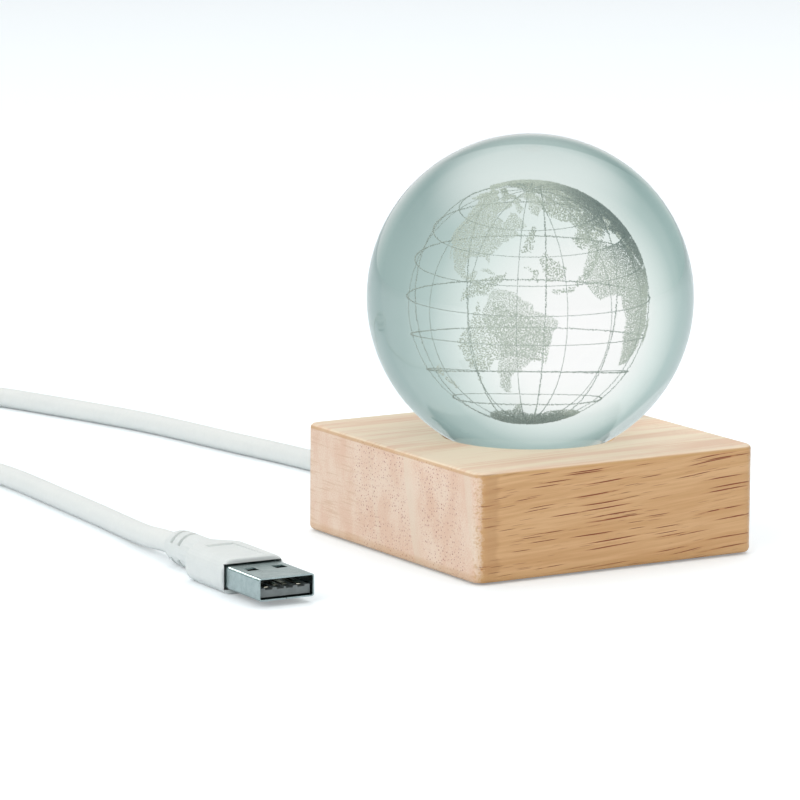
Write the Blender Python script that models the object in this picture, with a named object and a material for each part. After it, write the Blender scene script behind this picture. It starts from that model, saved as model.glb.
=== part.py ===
import math

import bmesh
import bpy
from mathutils import Matrix, Vector
from mathutils.geometry import tessellate_polygon

# Units and shared clearances
mm = 0.001
touch_gap = 0.3 * mm  # between two pieces that touch in the real lamp
cut_overrun = 1.0 * mm  # how far a cut runs past the face that it opens
merge_reach = 0.0001 * mm

# Crystal ball, and the round bore that it sits in
ball_diameter = 66.0 * mm
seat_bore_share = 0.53  # of the ball's diameter
seat_bevel_width = 0.7 * mm  # the bore's rim is eased to the ball's slope
light_well_share = 0.8  # of the seat bore's diameter
well_ledge_thickness = 1.8 * mm  # wood left between the bore and the pocket below
ball_to_window = 0.8 * mm

# World globe engraved in the ball: fine lines and thin plates, each in a void that fits round it
engraving_wall = 16.4 * mm  # glass between the globe's lines and the ball's face
engraving_drop = 0.7 * mm  # of the globe's centre below the ball's
engraved_line_width = 0.3 * mm
engraved_land_thickness = 0.4 * mm
engraving_vent_radius = 0.5 * mm
parallel_step = math.radians(22.5)
meridian_step = math.radians(30)
globe_turn = math.radians(-70.5)  # of the prime meridian from +X
longest_land_edge = math.radians(20)

# Wooden base: a square block as wide as the ball, as tall as what it holds
base_side = ball_diameter
base_corner_radius = 2.6 * mm  # upright edges
base_edge_radius = 0.9 * mm  # top and bottom edges
pocket_share = 0.7  # the round pocket's diameter, of the base's side

# Translucent window on the ledge at the bottom of the bore
window_thickness = 2.0 * mm
window_edge_radius = 0.3 * mm

# Round circuit board, screwed up against the pocket's ceiling
board_thickness = 1.6 * mm
board_rim_clearance = 0.6 * mm
led_count = 6
led_ring_radius = 8.5 * mm
led_width = 2.8 * mm
led_length = 3.5 * mm
led_height = 0.8 * mm
led_rim = 0.35 * mm
led_dish_depth = 0.25 * mm
resistor_width = 1.6 * mm
resistor_length = 3.2 * mm
resistor_height = 0.6 * mm
resistor_offset = 9.0 * mm
solder_radius = 1.2 * mm
solder_height = 0.9 * mm
solder_spacing = 7.0 * mm
solder_offset = 4.0 * mm
board_screw_inset = 2.4 * mm  # from the board's rim
board_screw_head_radius = 2.1 * mm
board_screw_head_height = 1.3 * mm
board_screw_shank_radius = 1.0 * mm
board_screw_length = 6.0 * mm

# Cover plate let into a rebate underneath, held by four countersunk screws
cover_rim = 5.3 * mm  # wood left round the cover
cover_thickness = 1.6 * mm
cover_corner_radius = 3.0 * mm
cover_edge_radius = 0.2 * mm
cover_screw_inset = 5.7 * mm  # from the cover's edges
cover_screw_head_radius = 2.5 * mm
cover_screw_head_height = 1.3 * mm
cover_screw_shank_radius = 1.2 * mm
cover_screw_length = 10.0 * mm
recess_share = 0.55  # cross recess across the arms, of the screw head's diameter
recess_arm_share = 0.17
recess_depth_share = 0.5

# Felt pad stuck under the cover, standing a little proud of the wood
pad_inset = 0.7 * mm  # from the cover's edges
pad_thickness = 0.8 * mm
pad_proud = 0.4 * mm
pad_edge_radius = 0.2 * mm

# White cord
cord_diameter = 4.5 * mm
cord_floor_lift = 0.05 * mm
cord_tail_inside = 7.0 * mm  # length of cord inside the pocket, past its wall
cord_point_spacing = 10.0 * mm
cord_bevel_resolution = 2
coil_bevel_resolution = 1

# The two wires out of the cord's end, and the tie that keeps the cord from pulling out
wire_radius = 0.65 * mm
wire_spacing = 1.9 * mm
wire_rise_share = 0.62  # where the wires turn up to the board, along their run
wire_bevel_resolution = 1
wire_point_spacing = 1.2 * mm
tie_width = 2.5 * mm
tie_thickness = 1.0 * mm
tie_head_width = 4.0 * mm
tie_head_height = 3.4 * mm
tie_from_wall = 2.4 * mm
tie_room = 0.35 * mm  # above and below the tie in the pocket

# Spare cord, wound in two layers just outside the view and held by a strap
coil_centre_x = -78.0 * mm
coil_centre_y = 184.0 * mm
coil_outer_radius = 30.0 * mm  # to the cord's own centre line
coil_turn_gap = 0.6 * mm
coil_entry_angle = math.radians(90)
coil_exit_angle = math.radians(230)
coil_whole_turns = 4
points_per_loop = 24
strap_angle = math.radians(330)
strap_width = 6.0 * mm
strap_thickness = 0.8 * mm

# USB plug, standard outside size
shell_width = 12.0 * mm
shell_height = 4.5 * mm
shell_wall = 0.3 * mm
shell_length = 18.7 * mm
shell_corner_radius = 0.6 * mm
shell_seam = 0.2 * mm
shell_exposed = 13.8 * mm
shell_window_width = 2.4 * mm
shell_window_length = 2.6 * mm
shell_window_spacing = 6.2 * mm
shell_window_from_mouth = 8.8 * mm
shell_latch_width = 3.2 * mm
shell_latch_length = 0.5 * mm
shell_latch_from_mouth = 13.2 * mm
tongue_thickness = 1.75 * mm
tongue_from_mouth = 0.7 * mm
tongue_length = 17.4 * mm
contact_width = 1.0 * mm
contact_thickness = 0.25 * mm
contact_groove_depth = 0.35 * mm
contact_pitches = (-3.5 * mm, -1.0 * mm, 1.0 * mm, 3.5 * mm)
outer_contact_from_mouth = 1.7 * mm
inner_contact_from_mouth = 2.7 * mm
contact_tip_length = 0.9 * mm
contact_back = 17.0 * mm

# Moulded grip and ribbed strain relief of the plug
grip_width = 14.0 * mm
grip_height = 7.1 * mm
grip_back = 28.3 * mm  # from the plug's mouth, as are the next five
panel_back = 28.0 * mm
shoulder_end = 34.0 * mm
relief_round_start = 41.5 * mm
relief_end = 46.0 * mm
groove_places = (39.0 * mm, 42.2 * mm)
grip_edge_radius = 2.7 * mm
grip_face_round = 0.5 * mm
relief_end_radius = 2.6 * mm
groove_width = 1.1 * mm
groove_depth = 0.8 * mm
groove_half_sweep = math.radians(66)
panel_width = 6.4 * mm
panel_depth = 0.4 * mm

# Where the plug lies: the middle of its mouth, and its turn about the upright axis
plug_mouth_x = -73.7 * mm
plug_mouth_y = -29.4 * mm
plug_turn = math.radians(-1.8)

# Steps of round forms, and the angle above which an edge is shaded sharp
sharp_angle = math.radians(38)
quarter_turn = math.pi / 2
full_turn = 2 * math.pi
corner_steps = 6
edge_steps = 3
bore_sides = 48
small_sides = 16
ball_segments = 44
ball_rings = 22
shoulder_steps = 6
corner_spread_floor = 0.5  # keeps a sharp corner of a land from growing into a spike
groove_steps = 15  # an odd count keeps the cut off the edge along the middle of the relief

# Widths that follow from the sizes above
cord_radius = cord_diameter / 2
ball_radius = ball_diameter / 2
seat_bore_radius = ball_radius * seat_bore_share
light_well_radius = seat_bore_radius * light_well_share
pocket_radius = base_side / 2 * pocket_share
board_radius = pocket_radius - board_rim_clearance
board_screw_circle_radius = board_radius - board_screw_inset
cover_half = base_side / 2 - cover_rim
cover_screw_reach = cover_half - cover_screw_inset
pad_half = cover_half - pad_inset
tie_radius = cord_radius + touch_gap + tie_thickness

# How deep the ball dips into its seat, touching the eased rim half way down
seat_contact_radius = seat_bore_radius + seat_bevel_width / 2
ball_reach = math.sqrt((ball_radius + touch_gap) ** 2 - seat_contact_radius**2)
seat_slope = seat_contact_radius / ball_reach
seat_bevel_depth = seat_slope * seat_bevel_width
ball_rise = ball_reach - seat_bevel_depth / 2  # of the ball's centre above the wood
seat_bore_depth = ball_radius - ball_rise + ball_to_window + window_thickness + touch_gap

# Heights, from the felt pad upwards
base_bottom = pad_proud
cover_bottom = pad_thickness + touch_gap
cover_top = cover_bottom + cover_thickness
rebate_ceiling = cover_top + touch_gap
cord_height = cover_top + tie_room + tie_radius
board_bottom = cord_height + tie_radius + tie_room
board_top = board_bottom + board_thickness
pocket_ceiling = board_top + touch_gap
seat_ledge = pocket_ceiling + well_ledge_thickness
window_bottom = seat_ledge + touch_gap
base_top = seat_ledge + seat_bore_depth
ball_height = base_top + ball_rise
globe_height = ball_height - engraving_drop
engraved_radius = ball_radius - engraving_wall
engraved_chord_share = math.cos(parallel_step / 2)  # of the radius, in the middle of a straight facet
land_outer_radius = (engraved_radius - engraved_line_width / 2) * engraved_chord_share - touch_gap
land_inner_radius = land_outer_radius - engraved_land_thickness
cord_floor_height = cord_radius + cord_floor_lift
plug_mid_height = grip_height / 2

# Lands on the globe: longitude and latitude in degrees
land_outlines = {
    "north_america": (
        (-166, 65), (-156, 71), (-128, 70), (-97, 69), (-83, 67), (-94, 59), (-80, 53), (-76, 61),
        (-64, 59), (-56, 51), (-66, 44), (-76, 36), (-81, 30), (-95, 29), (-97, 21), (-88, 18),
        (-83, 14), (-80, 9), (-90, 12), (-105, 19), (-114, 30), (-124, 40), (-125, 49), (-136, 58),
        (-158, 57),
    ),
    "greenland": ((-70, 77), (-45, 82), (-22, 80), (-24, 70), (-43, 60), (-53, 66), (-58, 75)),
    "south_america": (
        (-77, 6), (-72, 12), (-60, 9), (-51, 4), (-44, -3), (-35, -7), (-40, -20), (-48, -27),
        (-57, -37), (-65, -43), (-67, -54), (-74, -52), (-74, -38), (-70, -19), (-80, -5), (-79, 1),
    ),
    "africa": (
        (-7, 35), (10, 36), (20, 31), (31, 30), (37, 19), (42, 11), (50, 10), (41, -2),
        (40, -15), (33, -25), (26, -34), (18, -34), (12, -17), (9, 1), (-5, 5), (-12, 8),
        (-17, 15), (-16, 24),
    ),
    "eurasia": (
        (-9, 38), (-8, 43), (3, 52), (6, 61), (14, 67), (27, 71), (41, 67), (72, 72), (104, 77),
        (130, 72), (175, 68), (162, 59), (157, 51), (151, 59), (138, 54), (140, 46), (128, 38),
        (121, 39), (121, 28), (108, 20), (107, 9), (102, 3), (96, 17), (88, 22), (78, 8),
        (72, 21), (60, 25), (46, 14), (36, 29), (36, 37), (27, 38), (14, 44), (0, 39),
    ),
    "australia": (
        (114, -22), (122, -18), (130, -13), (142, -12), (153, -26), (149, -38), (131, -32), (116, -35),
    ),
    "antarctica": (
        (-150, -77), (-120, -74), (-75, -73), (-60, -65), (-62, -75), (-40, -78), (-10, -71), (30, -69),
        (60, -67), (90, -66), (120, -66), (150, -68), (170, -72), (180, -78),
    ),
}

# Free cord from the base to the coil, and from the coil to the plug: x, y and the height that
# its centre line keeps above that of cord lying on the floor
base_run_route = (
    (0.0000, 0.0460, 0.0039),
    (0.0002, 0.0600, 0.0017),
    (0.0006, 0.0740, 0.0003),
    (0.0007, 0.0887, 0.0000),
    (-0.0034, 0.1165, 0.0000),
    (-0.0078, 0.1454, 0.0000),
    (-0.0119, 0.1616, 0.0000),
    (-0.0166, 0.1771, 0.0000),
    (-0.0218, 0.1925, 0.0000),
    (-0.0292, 0.2042, 0.0002),
    (-0.0400, 0.2110, 0.0006),
    (-0.0530, 0.2136, 0.0010),
)
plug_run_route = (
    (-0.0836, 0.1486, 0.0048),
    (-0.0770, 0.1408, 0.0024),
    (-0.0710, 0.1308, 0.0007),
    (-0.0669, 0.1193, 0.0001),
    (-0.0651, 0.1055, 0.0000),
    (-0.0667, 0.0769, 0.0000),
    (-0.0682, 0.0565, 0.0000),
    (-0.0696, 0.0435, 0.0001),
    (-0.0714, 0.0300, 0.0006),
)


def clear_scene():
    for item in list(bpy.data.objects):
        bpy.data.objects.remove(item, do_unlink=True)


def material(name, colour, roughness, metallic=0.0, clear=False):
    made = bpy.data.materials.new(name)
    made.use_nodes = True
    shader = made.node_tree.nodes["Principled BSDF"]
    shader.inputs["Base Color"].default_value = (*colour, 1.0)
    shader.inputs["Roughness"].default_value = roughness
    shader.inputs["Metallic"].default_value = metallic
    if clear:
        shader.inputs["Transmission Weight"].default_value = 1.0
    made.diffuse_color = (*colour, 1.0)
    return made


def finish(shape, name, surface):
    """Turns a bmesh into a named object with its material, shaded smooth between sharp edges."""
    bmesh.ops.remove_doubles(shape, verts=shape.verts, dist=merge_reach)
    bmesh.ops.recalc_face_normals(shape, faces=shape.faces)
    mesh = bpy.data.meshes.new(name)
    shape.to_mesh(mesh)
    shape.free()
    mesh.shade_smooth()
    mesh.set_sharp_from_angle(angle=sharp_angle)
    mesh.materials.append(surface)
    return place(mesh, name)


def place(mesh, name, location=(0, 0, 0), turn=0.0, parent=None):
    item = bpy.data.objects.new(name, mesh)
    bpy.context.scene.collection.objects.link(item)
    item.location = location
    item.rotation_euler = (0, 0, turn)
    item.parent = parent
    return item


def rounded_outline(half_x, half_y, radius, steps=corner_steps):
    """A rectangle with round corners, anticlockwise from its right side."""
    points = []
    for corner, (side_x, side_y) in enumerate(((1, 1), (-1, 1), (-1, -1), (1, -1))):
        centre = Vector((side_x * (half_x - radius), side_y * (half_y - radius)))
        for step in range(steps + 1):
            angle = (corner + step / steps) * quarter_turn
            points.append(centre + radius * Vector((math.cos(angle), math.sin(angle))))
    return points


def loft(rings, closed=False):
    """Skins a row of rings that have the same number of points, and caps both ends."""
    shape = bmesh.new()
    rows = [[shape.verts.new(point) for point in ring] for ring in rings]
    count = len(rows[0])
    pairs = list(zip(rows, rows[1:]))
    if closed:
        pairs.append((rows[-1], rows[0]))
    for lower, upper in pairs:
        for index in range(count):
            after = (index + 1) % count
            shape.faces.new((lower[index], lower[after], upper[after], upper[index]))
    if not closed:
        shape.faces.new(reversed(rows[0]))
        shape.faces.new(rows[-1])
    return shape


def slab(half_side, bottom, top, corner_radius, edge_radius):
    """A square plate or block, round at its upright corners and along its top and bottom edges."""
    levels = []
    for step in range(edge_steps + 1):
        angle = quarter_turn * step / edge_steps
        levels.append((edge_radius * (1 - math.sin(angle)), edge_radius * (1 - math.cos(angle))))
    rings = []
    for inset, rise in levels:
        outline = rounded_outline(half_side - inset, half_side - inset, corner_radius - inset)
        rings.append([(point.x, point.y, bottom + rise) for point in outline])
    for inset, rise in reversed(levels):
        outline = rounded_outline(half_side - inset, half_side - inset, corner_radius - inset)
        rings.append([(point.x, point.y, top - rise) for point in outline])
    return loft(rings)


def turned(profile, sides=bore_sides):
    """Spins a profile of (radius, height) points, listed from bottom to top, about the upright axis."""
    shape = bmesh.new()
    points = [shape.verts.new((radius, 0, height)) for radius, height in profile]
    edges = [shape.edges.new(pair) for pair in zip(points, points[1:])]
    bmesh.ops.spin(
        shape,
        geom=points + edges,
        cent=(0, 0, 0),
        axis=(0, 0, 1),
        angle=full_turn,
        steps=sides,
        use_merge=True,
    )
    bmesh.ops.remove_doubles(shape, verts=shape.verts, dist=merge_reach)
    return shape


def box(size_x, size_y, size_z, centre=(0, 0, 0)):
    shape = bmesh.new()
    scale = Matrix.Diagonal((size_x, size_y, size_z, 1))
    bmesh.ops.create_cube(shape, size=1, matrix=Matrix.Translation(centre) @ scale)
    return shape


def cutter(shape, name, parent=None):
    """A helper shape that a Boolean uses, so it is left out of a render."""
    tool = finish(shape, name, helper_surface)
    tool.parent = parent
    tool.hide_render = True
    tool.display_type = "WIRE"
    return tool


def combine(target, operation, tools):
    """Cuts the tools out of the target or joins them to it, then marks the new edges sharp."""
    for tool in tools:
        step = target.modifiers.new(tool.name, "BOOLEAN")
        step.operation = operation
        step.solver = "EXACT"
        step.object = tool
    shading = target.modifiers.new("shading", "NODES")
    shading.node_group = edge_shading


def cut(target, tools):
    combine(target, "DIFFERENCE", tools)


def sharp_edge_group():
    """A node group that shades an edge sharp where its faces meet at more than the sharp angle."""
    group = bpy.data.node_groups.new("sharp_edges", "GeometryNodeTree")
    for side in ("INPUT", "OUTPUT"):
        group.interface.new_socket("Geometry", in_out=side, socket_type="NodeSocketGeometry")
    start = group.nodes.new("NodeGroupInput")
    angle = group.nodes.new("GeometryNodeInputMeshEdgeAngle")
    steep = group.nodes.new("FunctionNodeCompare")
    steep.operation = "GREATER_THAN"
    steep.inputs["B"].default_value = sharp_angle
    shade = group.nodes.new("GeometryNodeSetShadeSmooth")
    shade.domain = "EDGE"
    shade.inputs["Shade Smooth"].default_value = False
    end = group.nodes.new("NodeGroupOutput")
    group.links.new(angle.outputs["Unsigned Angle"], steep.inputs["A"])
    group.links.new(start.outputs["Geometry"], shade.inputs["Geometry"])
    group.links.new(steep.outputs["Result"], shade.inputs["Selection"])
    group.links.new(shade.outputs["Geometry"], end.inputs["Geometry"])
    return group


def smooth_path(points, spacing):
    """Even steps along a smooth curve (centripetal Catmull-Rom) between two straight ends."""
    points = [Vector(point) for point in points]
    dense = []
    fine_steps = 24
    for before, start, end, after in zip(points, points[1:], points[2:], points[3:]):
        t1 = math.sqrt((start - before).length)
        t2 = t1 + math.sqrt((end - start).length)
        t3 = t2 + math.sqrt((after - end).length)
        for step in range(fine_steps):
            t = t1 + (t2 - t1) * step / fine_steps
            a1 = before.lerp(start, t / t1)
            a2 = start.lerp(end, (t - t1) / (t2 - t1))
            a3 = end.lerp(after, (t - t2) / (t3 - t2))
            b1 = a1.lerp(a2, t / t2)
            b2 = a2.lerp(a3, (t - t1) / (t3 - t1))
            dense.append(b1.lerp(b2, (t - t1) / (t2 - t1)))
    dense.append(points[-2])
    return [points[0], *even_steps(dense, spacing), points[-1]]


def path_length(points):
    return sum((end - start).length for start, end in zip(points, points[1:]))


def even_steps(dense, spacing):
    total = path_length(dense)
    count = max(round(total / spacing), 1)
    made = [dense[0]]
    walked = 0.0
    for start, end in zip(dense, dense[1:]):
        piece = (end - start).length
        while len(made) < count and walked + piece >= total * len(made) / count:
            made.append(start.lerp(end, (total * len(made) / count - walked) / piece))
        walked += piece
    made.append(dense[-1])
    return made


def tube(name, points, radius, resolution, surface):
    curve = bpy.data.curves.new(name, "CURVE")
    curve.dimensions = "3D"
    curve.bevel_depth = radius
    curve.bevel_resolution = resolution
    curve.use_fill_caps = True
    line = curve.splines.new("POLY")
    line.points.add(len(points) - 1)
    for spot, point in zip(line.points, points):
        spot.co = (*point, 1)
    curve.materials.append(surface)
    item = bpy.data.objects.new(name, curve)
    bpy.context.scene.collection.objects.link(item)
    return item


def least_gap(points, skip, diameter):
    """The narrowest space between stretches of a tube that aren't next to each other along it."""
    gap = math.inf
    for index, start in enumerate(points[:-1]):
        end = points[index + 1]
        for other in range(index + skip, len(points) - 1):
            gap = min(gap, segment_distance(start, end, points[other], points[other + 1]))
    return gap - diameter


def segment_distance(a, b, c, d):
    """Distance between the straight stretches a to b and c to d."""
    along_1 = b - a
    along_2 = d - c
    between = a - c
    aa = along_1.dot(along_1)
    bb = along_2.dot(along_2)
    ab = along_1.dot(along_2)
    ar = along_1.dot(between)
    br = along_2.dot(between)
    spread = aa * bb - ab * ab
    s = min(max((ab * br - bb * ar) / spread, 0.0), 1.0) if spread > 0 else 0.0
    t = min(max((ab * s + br) / bb, 0.0), 1.0)
    s = min(max((ab * t - ar) / aa, 0.0), 1.0)
    return (between + along_1 * s - along_2 * t).length


def make_base():
    block = finish(
        slab(base_side / 2, base_bottom, base_top, base_corner_radius, base_edge_radius),
        "wooden_base",
        wood,
    )
    # The seat bore with its eased rim, and the light well below it, are one turned cut.
    rim_radius = seat_bore_radius + seat_bevel_width
    seat = cutter(
        turned(
            (
                (0, pocket_ceiling - cut_overrun),
                (light_well_radius, pocket_ceiling - cut_overrun),
                (light_well_radius, seat_ledge),
                (seat_bore_radius, seat_ledge),
                (seat_bore_radius, base_top - seat_bevel_depth),
                (rim_radius, base_top),
                (rim_radius + cut_overrun / seat_slope, base_top + cut_overrun),
                (0, base_top + cut_overrun),
            )
        ),
        "cut_seat",
    )
    pocket = cutter(
        turned(
            (
                (0, base_bottom - cut_overrun),
                (pocket_radius, base_bottom - cut_overrun),
                (pocket_radius, pocket_ceiling),
                (0, pocket_ceiling),
            )
        ),
        "cut_pocket",
    )
    rebate_half = cover_half + touch_gap
    outline = rounded_outline(rebate_half, rebate_half, cover_corner_radius + touch_gap)
    rebate = cutter(
        loft(
            [
                [(point.x, point.y, height) for point in outline]
                for height in (base_bottom - cut_overrun, rebate_ceiling)
            ]
        ),
        "cut_rebate",
    )
    hole_start = pocket_radius - cut_overrun * 2
    hole_end = base_side / 2 + cut_overrun
    hole_radius = cord_radius + touch_gap
    hole = turned(
        (
            (0, hole_start),
            (hole_radius, hole_start),
            (hole_radius, hole_end),
            (0, hole_end),
        ),
        small_sides,
    )
    bmesh.ops.rotate(
        hole, verts=hole.verts, cent=(0, 0, 0), matrix=Matrix.Rotation(-quarter_turn, 3, "X")
    )
    bmesh.ops.translate(hole, verts=hole.verts, vec=(0, 0, cord_height))
    cuts = [seat, pocket, rebate, cutter(hole, "cut_cord_hole")]
    for number, (x, y) in enumerate(cover_screw_places(), 1):
        pilot_top = cover_bottom + cover_screw_length + touch_gap * 2
        cuts.append(pilot_cut(f"cut_cover_pilot_{number}", x, y, cover_screw_shank_radius, pilot_top))
    for number, (x, y) in enumerate(board_screw_places(), 1):
        pilot_top = board_bottom + board_screw_length + touch_gap
        cuts.append(pilot_cut(f"cut_board_pilot_{number}", x, y, board_screw_shank_radius, pilot_top))
    cut(block, cuts)


def pilot_cut(name, x, y, shank_radius, top):
    """A blind screw hole that opens downwards."""
    radius = shank_radius + touch_gap
    hole = turned(
        ((0, base_bottom), (radius, base_bottom), (radius, top), (0, top)),
        small_sides,
    )
    bmesh.ops.translate(hole, verts=hole.verts, vec=(x, y, 0))
    return cutter(hole, name)


def cover_screw_places():
    reach = cover_screw_reach
    return ((-reach, -reach), (reach, -reach), (reach, reach), (-reach, reach))


def board_screw_places():
    return ((-board_screw_circle_radius, 0), (board_screw_circle_radius, 0))


def make_ball():
    shape = bmesh.new()
    bmesh.ops.create_uvsphere(
        shape, u_segments=ball_segments, v_segments=ball_rings, radius=ball_radius
    )
    ball = finish(shape, "crystal_ball", crystal)
    ball.location = (0, 0, ball_height)

    # The voids fit round the engraving's sharp-edged struts and join the outside at the bottom.
    void_width = engraved_line_width + touch_gap * 2 * math.sqrt(2)
    voids = [cutter(globe_network(void_width), "cut_engraved_grid")]
    void_floor = land_inner_radius * engraved_chord_share - touch_gap
    void_roof = engraved_radius - engraved_line_width / 2
    for name, outline in land_outlines.items():
        plate = land_plate(outline, void_floor, void_roof, touch_gap)
        voids.append(cutter(plate, f"cut_engraved_{name}"))
    low = ball_height - globe_height - ball_radius - cut_overrun
    vent = turned(
        (
            (0, low),
            (engraving_vent_radius, low),
            (engraving_vent_radius, -engraved_radius),
            (0, -engraved_radius),
        ),
        small_sides,
    )
    voids.append(cutter(vent, "cut_engraving_vent"))
    for tool in voids:
        tool.location = (0, 0, globe_height)
    cut(ball, voids)


def make_engraving():
    pieces = [finish(globe_network(engraved_line_width), "engraved_grid", engraving)]
    for name, outline in land_outlines.items():
        plate = land_plate(outline, land_inner_radius, land_outer_radius, 0)
        pieces.append(finish(plate, f"engraved_{name}", engraving))
    for piece in pieces:
        piece.location = (0, 0, globe_height)


def globe_direction(longitude, latitude):
    turn = longitude + globe_turn
    return Vector(
        (math.cos(latitude) * math.cos(turn), math.cos(latitude) * math.sin(turn), math.sin(latitude))
    )


def globe_network(width):
    """Parallels and meridians as one network of sharp-edged struts round the globe's centre."""
    sectors = round(full_turn / meridian_step)
    levels = range(1, round(math.pi / parallel_step))
    rings = []
    for level in levels:
        latitude = level * parallel_step - quarter_turn
        # The small ring next to a pole has corners at the meridians alone.
        stride = 2 if level in (levels[0], levels[-1]) else 1
        ring = {}
        for step in range(0, sectors * 2, stride):
            ring[step] = globe_direction(step * meridian_step / 2, latitude).freeze()
        rings.append(ring)
    south = Vector((0, 0, -1)).freeze()
    north = Vector((0, 0, 1)).freeze()
    cells = []
    for sector in range(sectors):
        first = sector * 2
        eastward = (first, first + 1, (first + 2) % (sectors * 2))
        westward = eastward[::-1]
        for lower, upper in zip(rings, rings[1:]):
            below = [lower[index] for index in eastward if index in lower]
            above = [upper[index] for index in westward if index in upper]
            cells.append(below + above)
        cells.append([south, rings[0][westward[0]], rings[0][westward[-1]]])
        cells.append([north, rings[-1][eastward[0]], rings[-1][eastward[-1]]])

    # Each line has a ridge outside and inside the globe, and an edge along every cell beside it.
    shape = bmesh.new()
    ridges = {}
    for direction in {corner for cell in cells for corner in cell}:
        ridges[direction] = (
            shape.verts.new(direction * (engraved_radius + width / 2)),
            shape.verts.new(direction * (engraved_radius - width / 2)),
        )
    for cell in cells:
        edges = []
        for before, corner, after in zip(cell[-1:] + cell[:-1], cell, cell[1:] + cell[:1]):
            arriving = corner.cross(corner - before).normalized()
            leaving = corner.cross(after - corner).normalized()
            inward = (arriving + leaving) / (1 + arriving.dot(leaving))
            edges.append(shape.verts.new(corner * engraved_radius + inward * width / 2))
        for index, (corner, edge) in enumerate(zip(cell, edges)):
            after = (index + 1) % len(cell)
            near_out, near_in = ridges[corner]
            far_out, far_in = ridges[cell[after]]
            shape.faces.new((near_out, far_out, edges[after], edge))
            shape.faces.new((far_in, near_in, edge, edges[after]))
    return shape


def land_plate(outline, inner_radius, outer_radius, margin):
    """One land as a thin curved plate, its outline moved outwards by the margin."""
    upward = Vector((0, 0, 1))
    directions = [
        globe_direction(math.radians(longitude), math.radians(latitude))
        for longitude, latitude in outline
    ]
    middle = sum(directions, Vector()).normalized()
    levelled = middle.rotation_difference(upward)
    # The outline is laid flat round the land's middle, where lengths are angles.
    flat = []
    for direction in directions:
        spot = levelled @ direction
        flat.append(spot.xy.normalized() * spot.angle(upward))
    area = sum(start.x * end.y - end.x * start.y for start, end in zip(flat, flat[1:] + flat[:1]))
    if area < 0:
        flat.reverse()
    grown = []
    for before, point, after in zip(flat[-1:] + flat[:-1], flat, flat[1:] + flat[:1]):
        arriving = (point - before).normalized()
        leaving = (after - point).normalized()
        sideways = Vector((arriving.y + leaving.y, -arriving.x - leaving.x))
        spread = max(1 + arriving.dot(leaving), corner_spread_floor)
        flattening = point.length / math.sin(point.length)
        grown.append(point + sideways * margin / outer_radius * flattening / spread)
    shape = bmesh.new()
    corners = [shape.verts.new((point.x, point.y, 0)) for point in grown]
    for triangle in tessellate_polygon([[corner.co for corner in corners]]):
        shape.faces.new([corners[index] for index in triangle])
    long_edges = [edge for edge in shape.edges if edge.calc_length() > longest_land_edge]
    while long_edges:
        bmesh.ops.subdivide_edges(shape, edges=long_edges, cuts=1)
        bmesh.ops.triangulate(shape, faces=shape.faces)
        long_edges = [edge for edge in shape.edges if edge.calc_length() > longest_land_edge]
    raised = levelled.inverted()
    shell = bmesh.new()
    pairs = {}
    for corner in shape.verts:
        from_middle = corner.co.length
        flat_way = corner.co.xy.normalized()
        direction = Vector(
            (
                flat_way.x * math.sin(from_middle),
                flat_way.y * math.sin(from_middle),
                math.cos(from_middle),
            )
        )
        direction = raised @ direction
        pairs[corner] = (
            shell.verts.new(direction * inner_radius),
            shell.verts.new(direction * outer_radius),
        )
    for face in shape.faces:
        shell.faces.new([pairs[corner][1] for corner in face.verts])
        shell.faces.new([pairs[corner][0] for corner in reversed(face.verts)])
    for edge in shape.edges:
        if edge.is_boundary:
            start, end = edge.verts
            shell.faces.new((pairs[start][0], pairs[end][0], pairs[end][1], pairs[start][1]))
    shape.free()
    return shell


def make_window():
    radius = seat_bore_radius - touch_gap
    edge = window_edge_radius
    top = window_thickness
    disc = turned(
        (
            (0, 0),
            (radius - edge, 0),
            (radius, edge),
            (radius, top - edge),
            (radius - edge, top),
            (0, top),
        )
    )
    finish(disc, "light_window", frosted_plastic).location = (0, 0, window_bottom)


def make_board():
    disc = turned(
        (
            (0, board_bottom),
            (board_radius, board_bottom),
            (board_radius, board_top),
            (0, board_top),
        )
    )
    board = finish(disc, "led_board", board_white)
    holes = []
    for number, (x, y) in enumerate(board_screw_places(), 1):
        hole_radius = board_screw_shank_radius + touch_gap
        hole = turned(
            (
                (0, board_bottom - cut_overrun),
                (hole_radius, board_bottom - cut_overrun),
                (hole_radius, board_top + cut_overrun),
                (0, board_top + cut_overrun),
            ),
            small_sides,
        )
        bmesh.ops.translate(hole, verts=hole.verts, vec=(x, y, 0))
        holes.append(cutter(hole, f"cut_board_hole_{number}"))
    cut(board, holes)


def rectangle(half_x, half_y, height):
    corners = ((half_x, -half_y), (half_x, half_y), (-half_x, half_y), (-half_x, -half_y))
    return [(x, y, height) for x, y in corners]


def make_leds():
    # A small package whose white rim stands round a dish of yellow phosphor.
    half_x = led_width / 2
    half_y = led_length / 2
    rings = [
        rectangle(half_x, half_y, 0),
        rectangle(half_x, half_y, led_height),
        rectangle(half_x - led_rim, half_y - led_rim, led_height),
        rectangle(half_x - led_rim * 2, half_y - led_rim * 2, led_height - led_dish_depth),
    ]
    first = finish(loft(rings), "led_1", led_yellow)
    for number in range(1, led_count + 1):
        angle = full_turn * (number - 1) / led_count
        spot = (led_ring_radius * math.cos(angle), led_ring_radius * math.sin(angle))
        led = first if number == 1 else place(first.data, f"led_{number}")
        led.location = (*spot, board_top + touch_gap)
        led.rotation_euler = (0, 0, angle)


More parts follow.
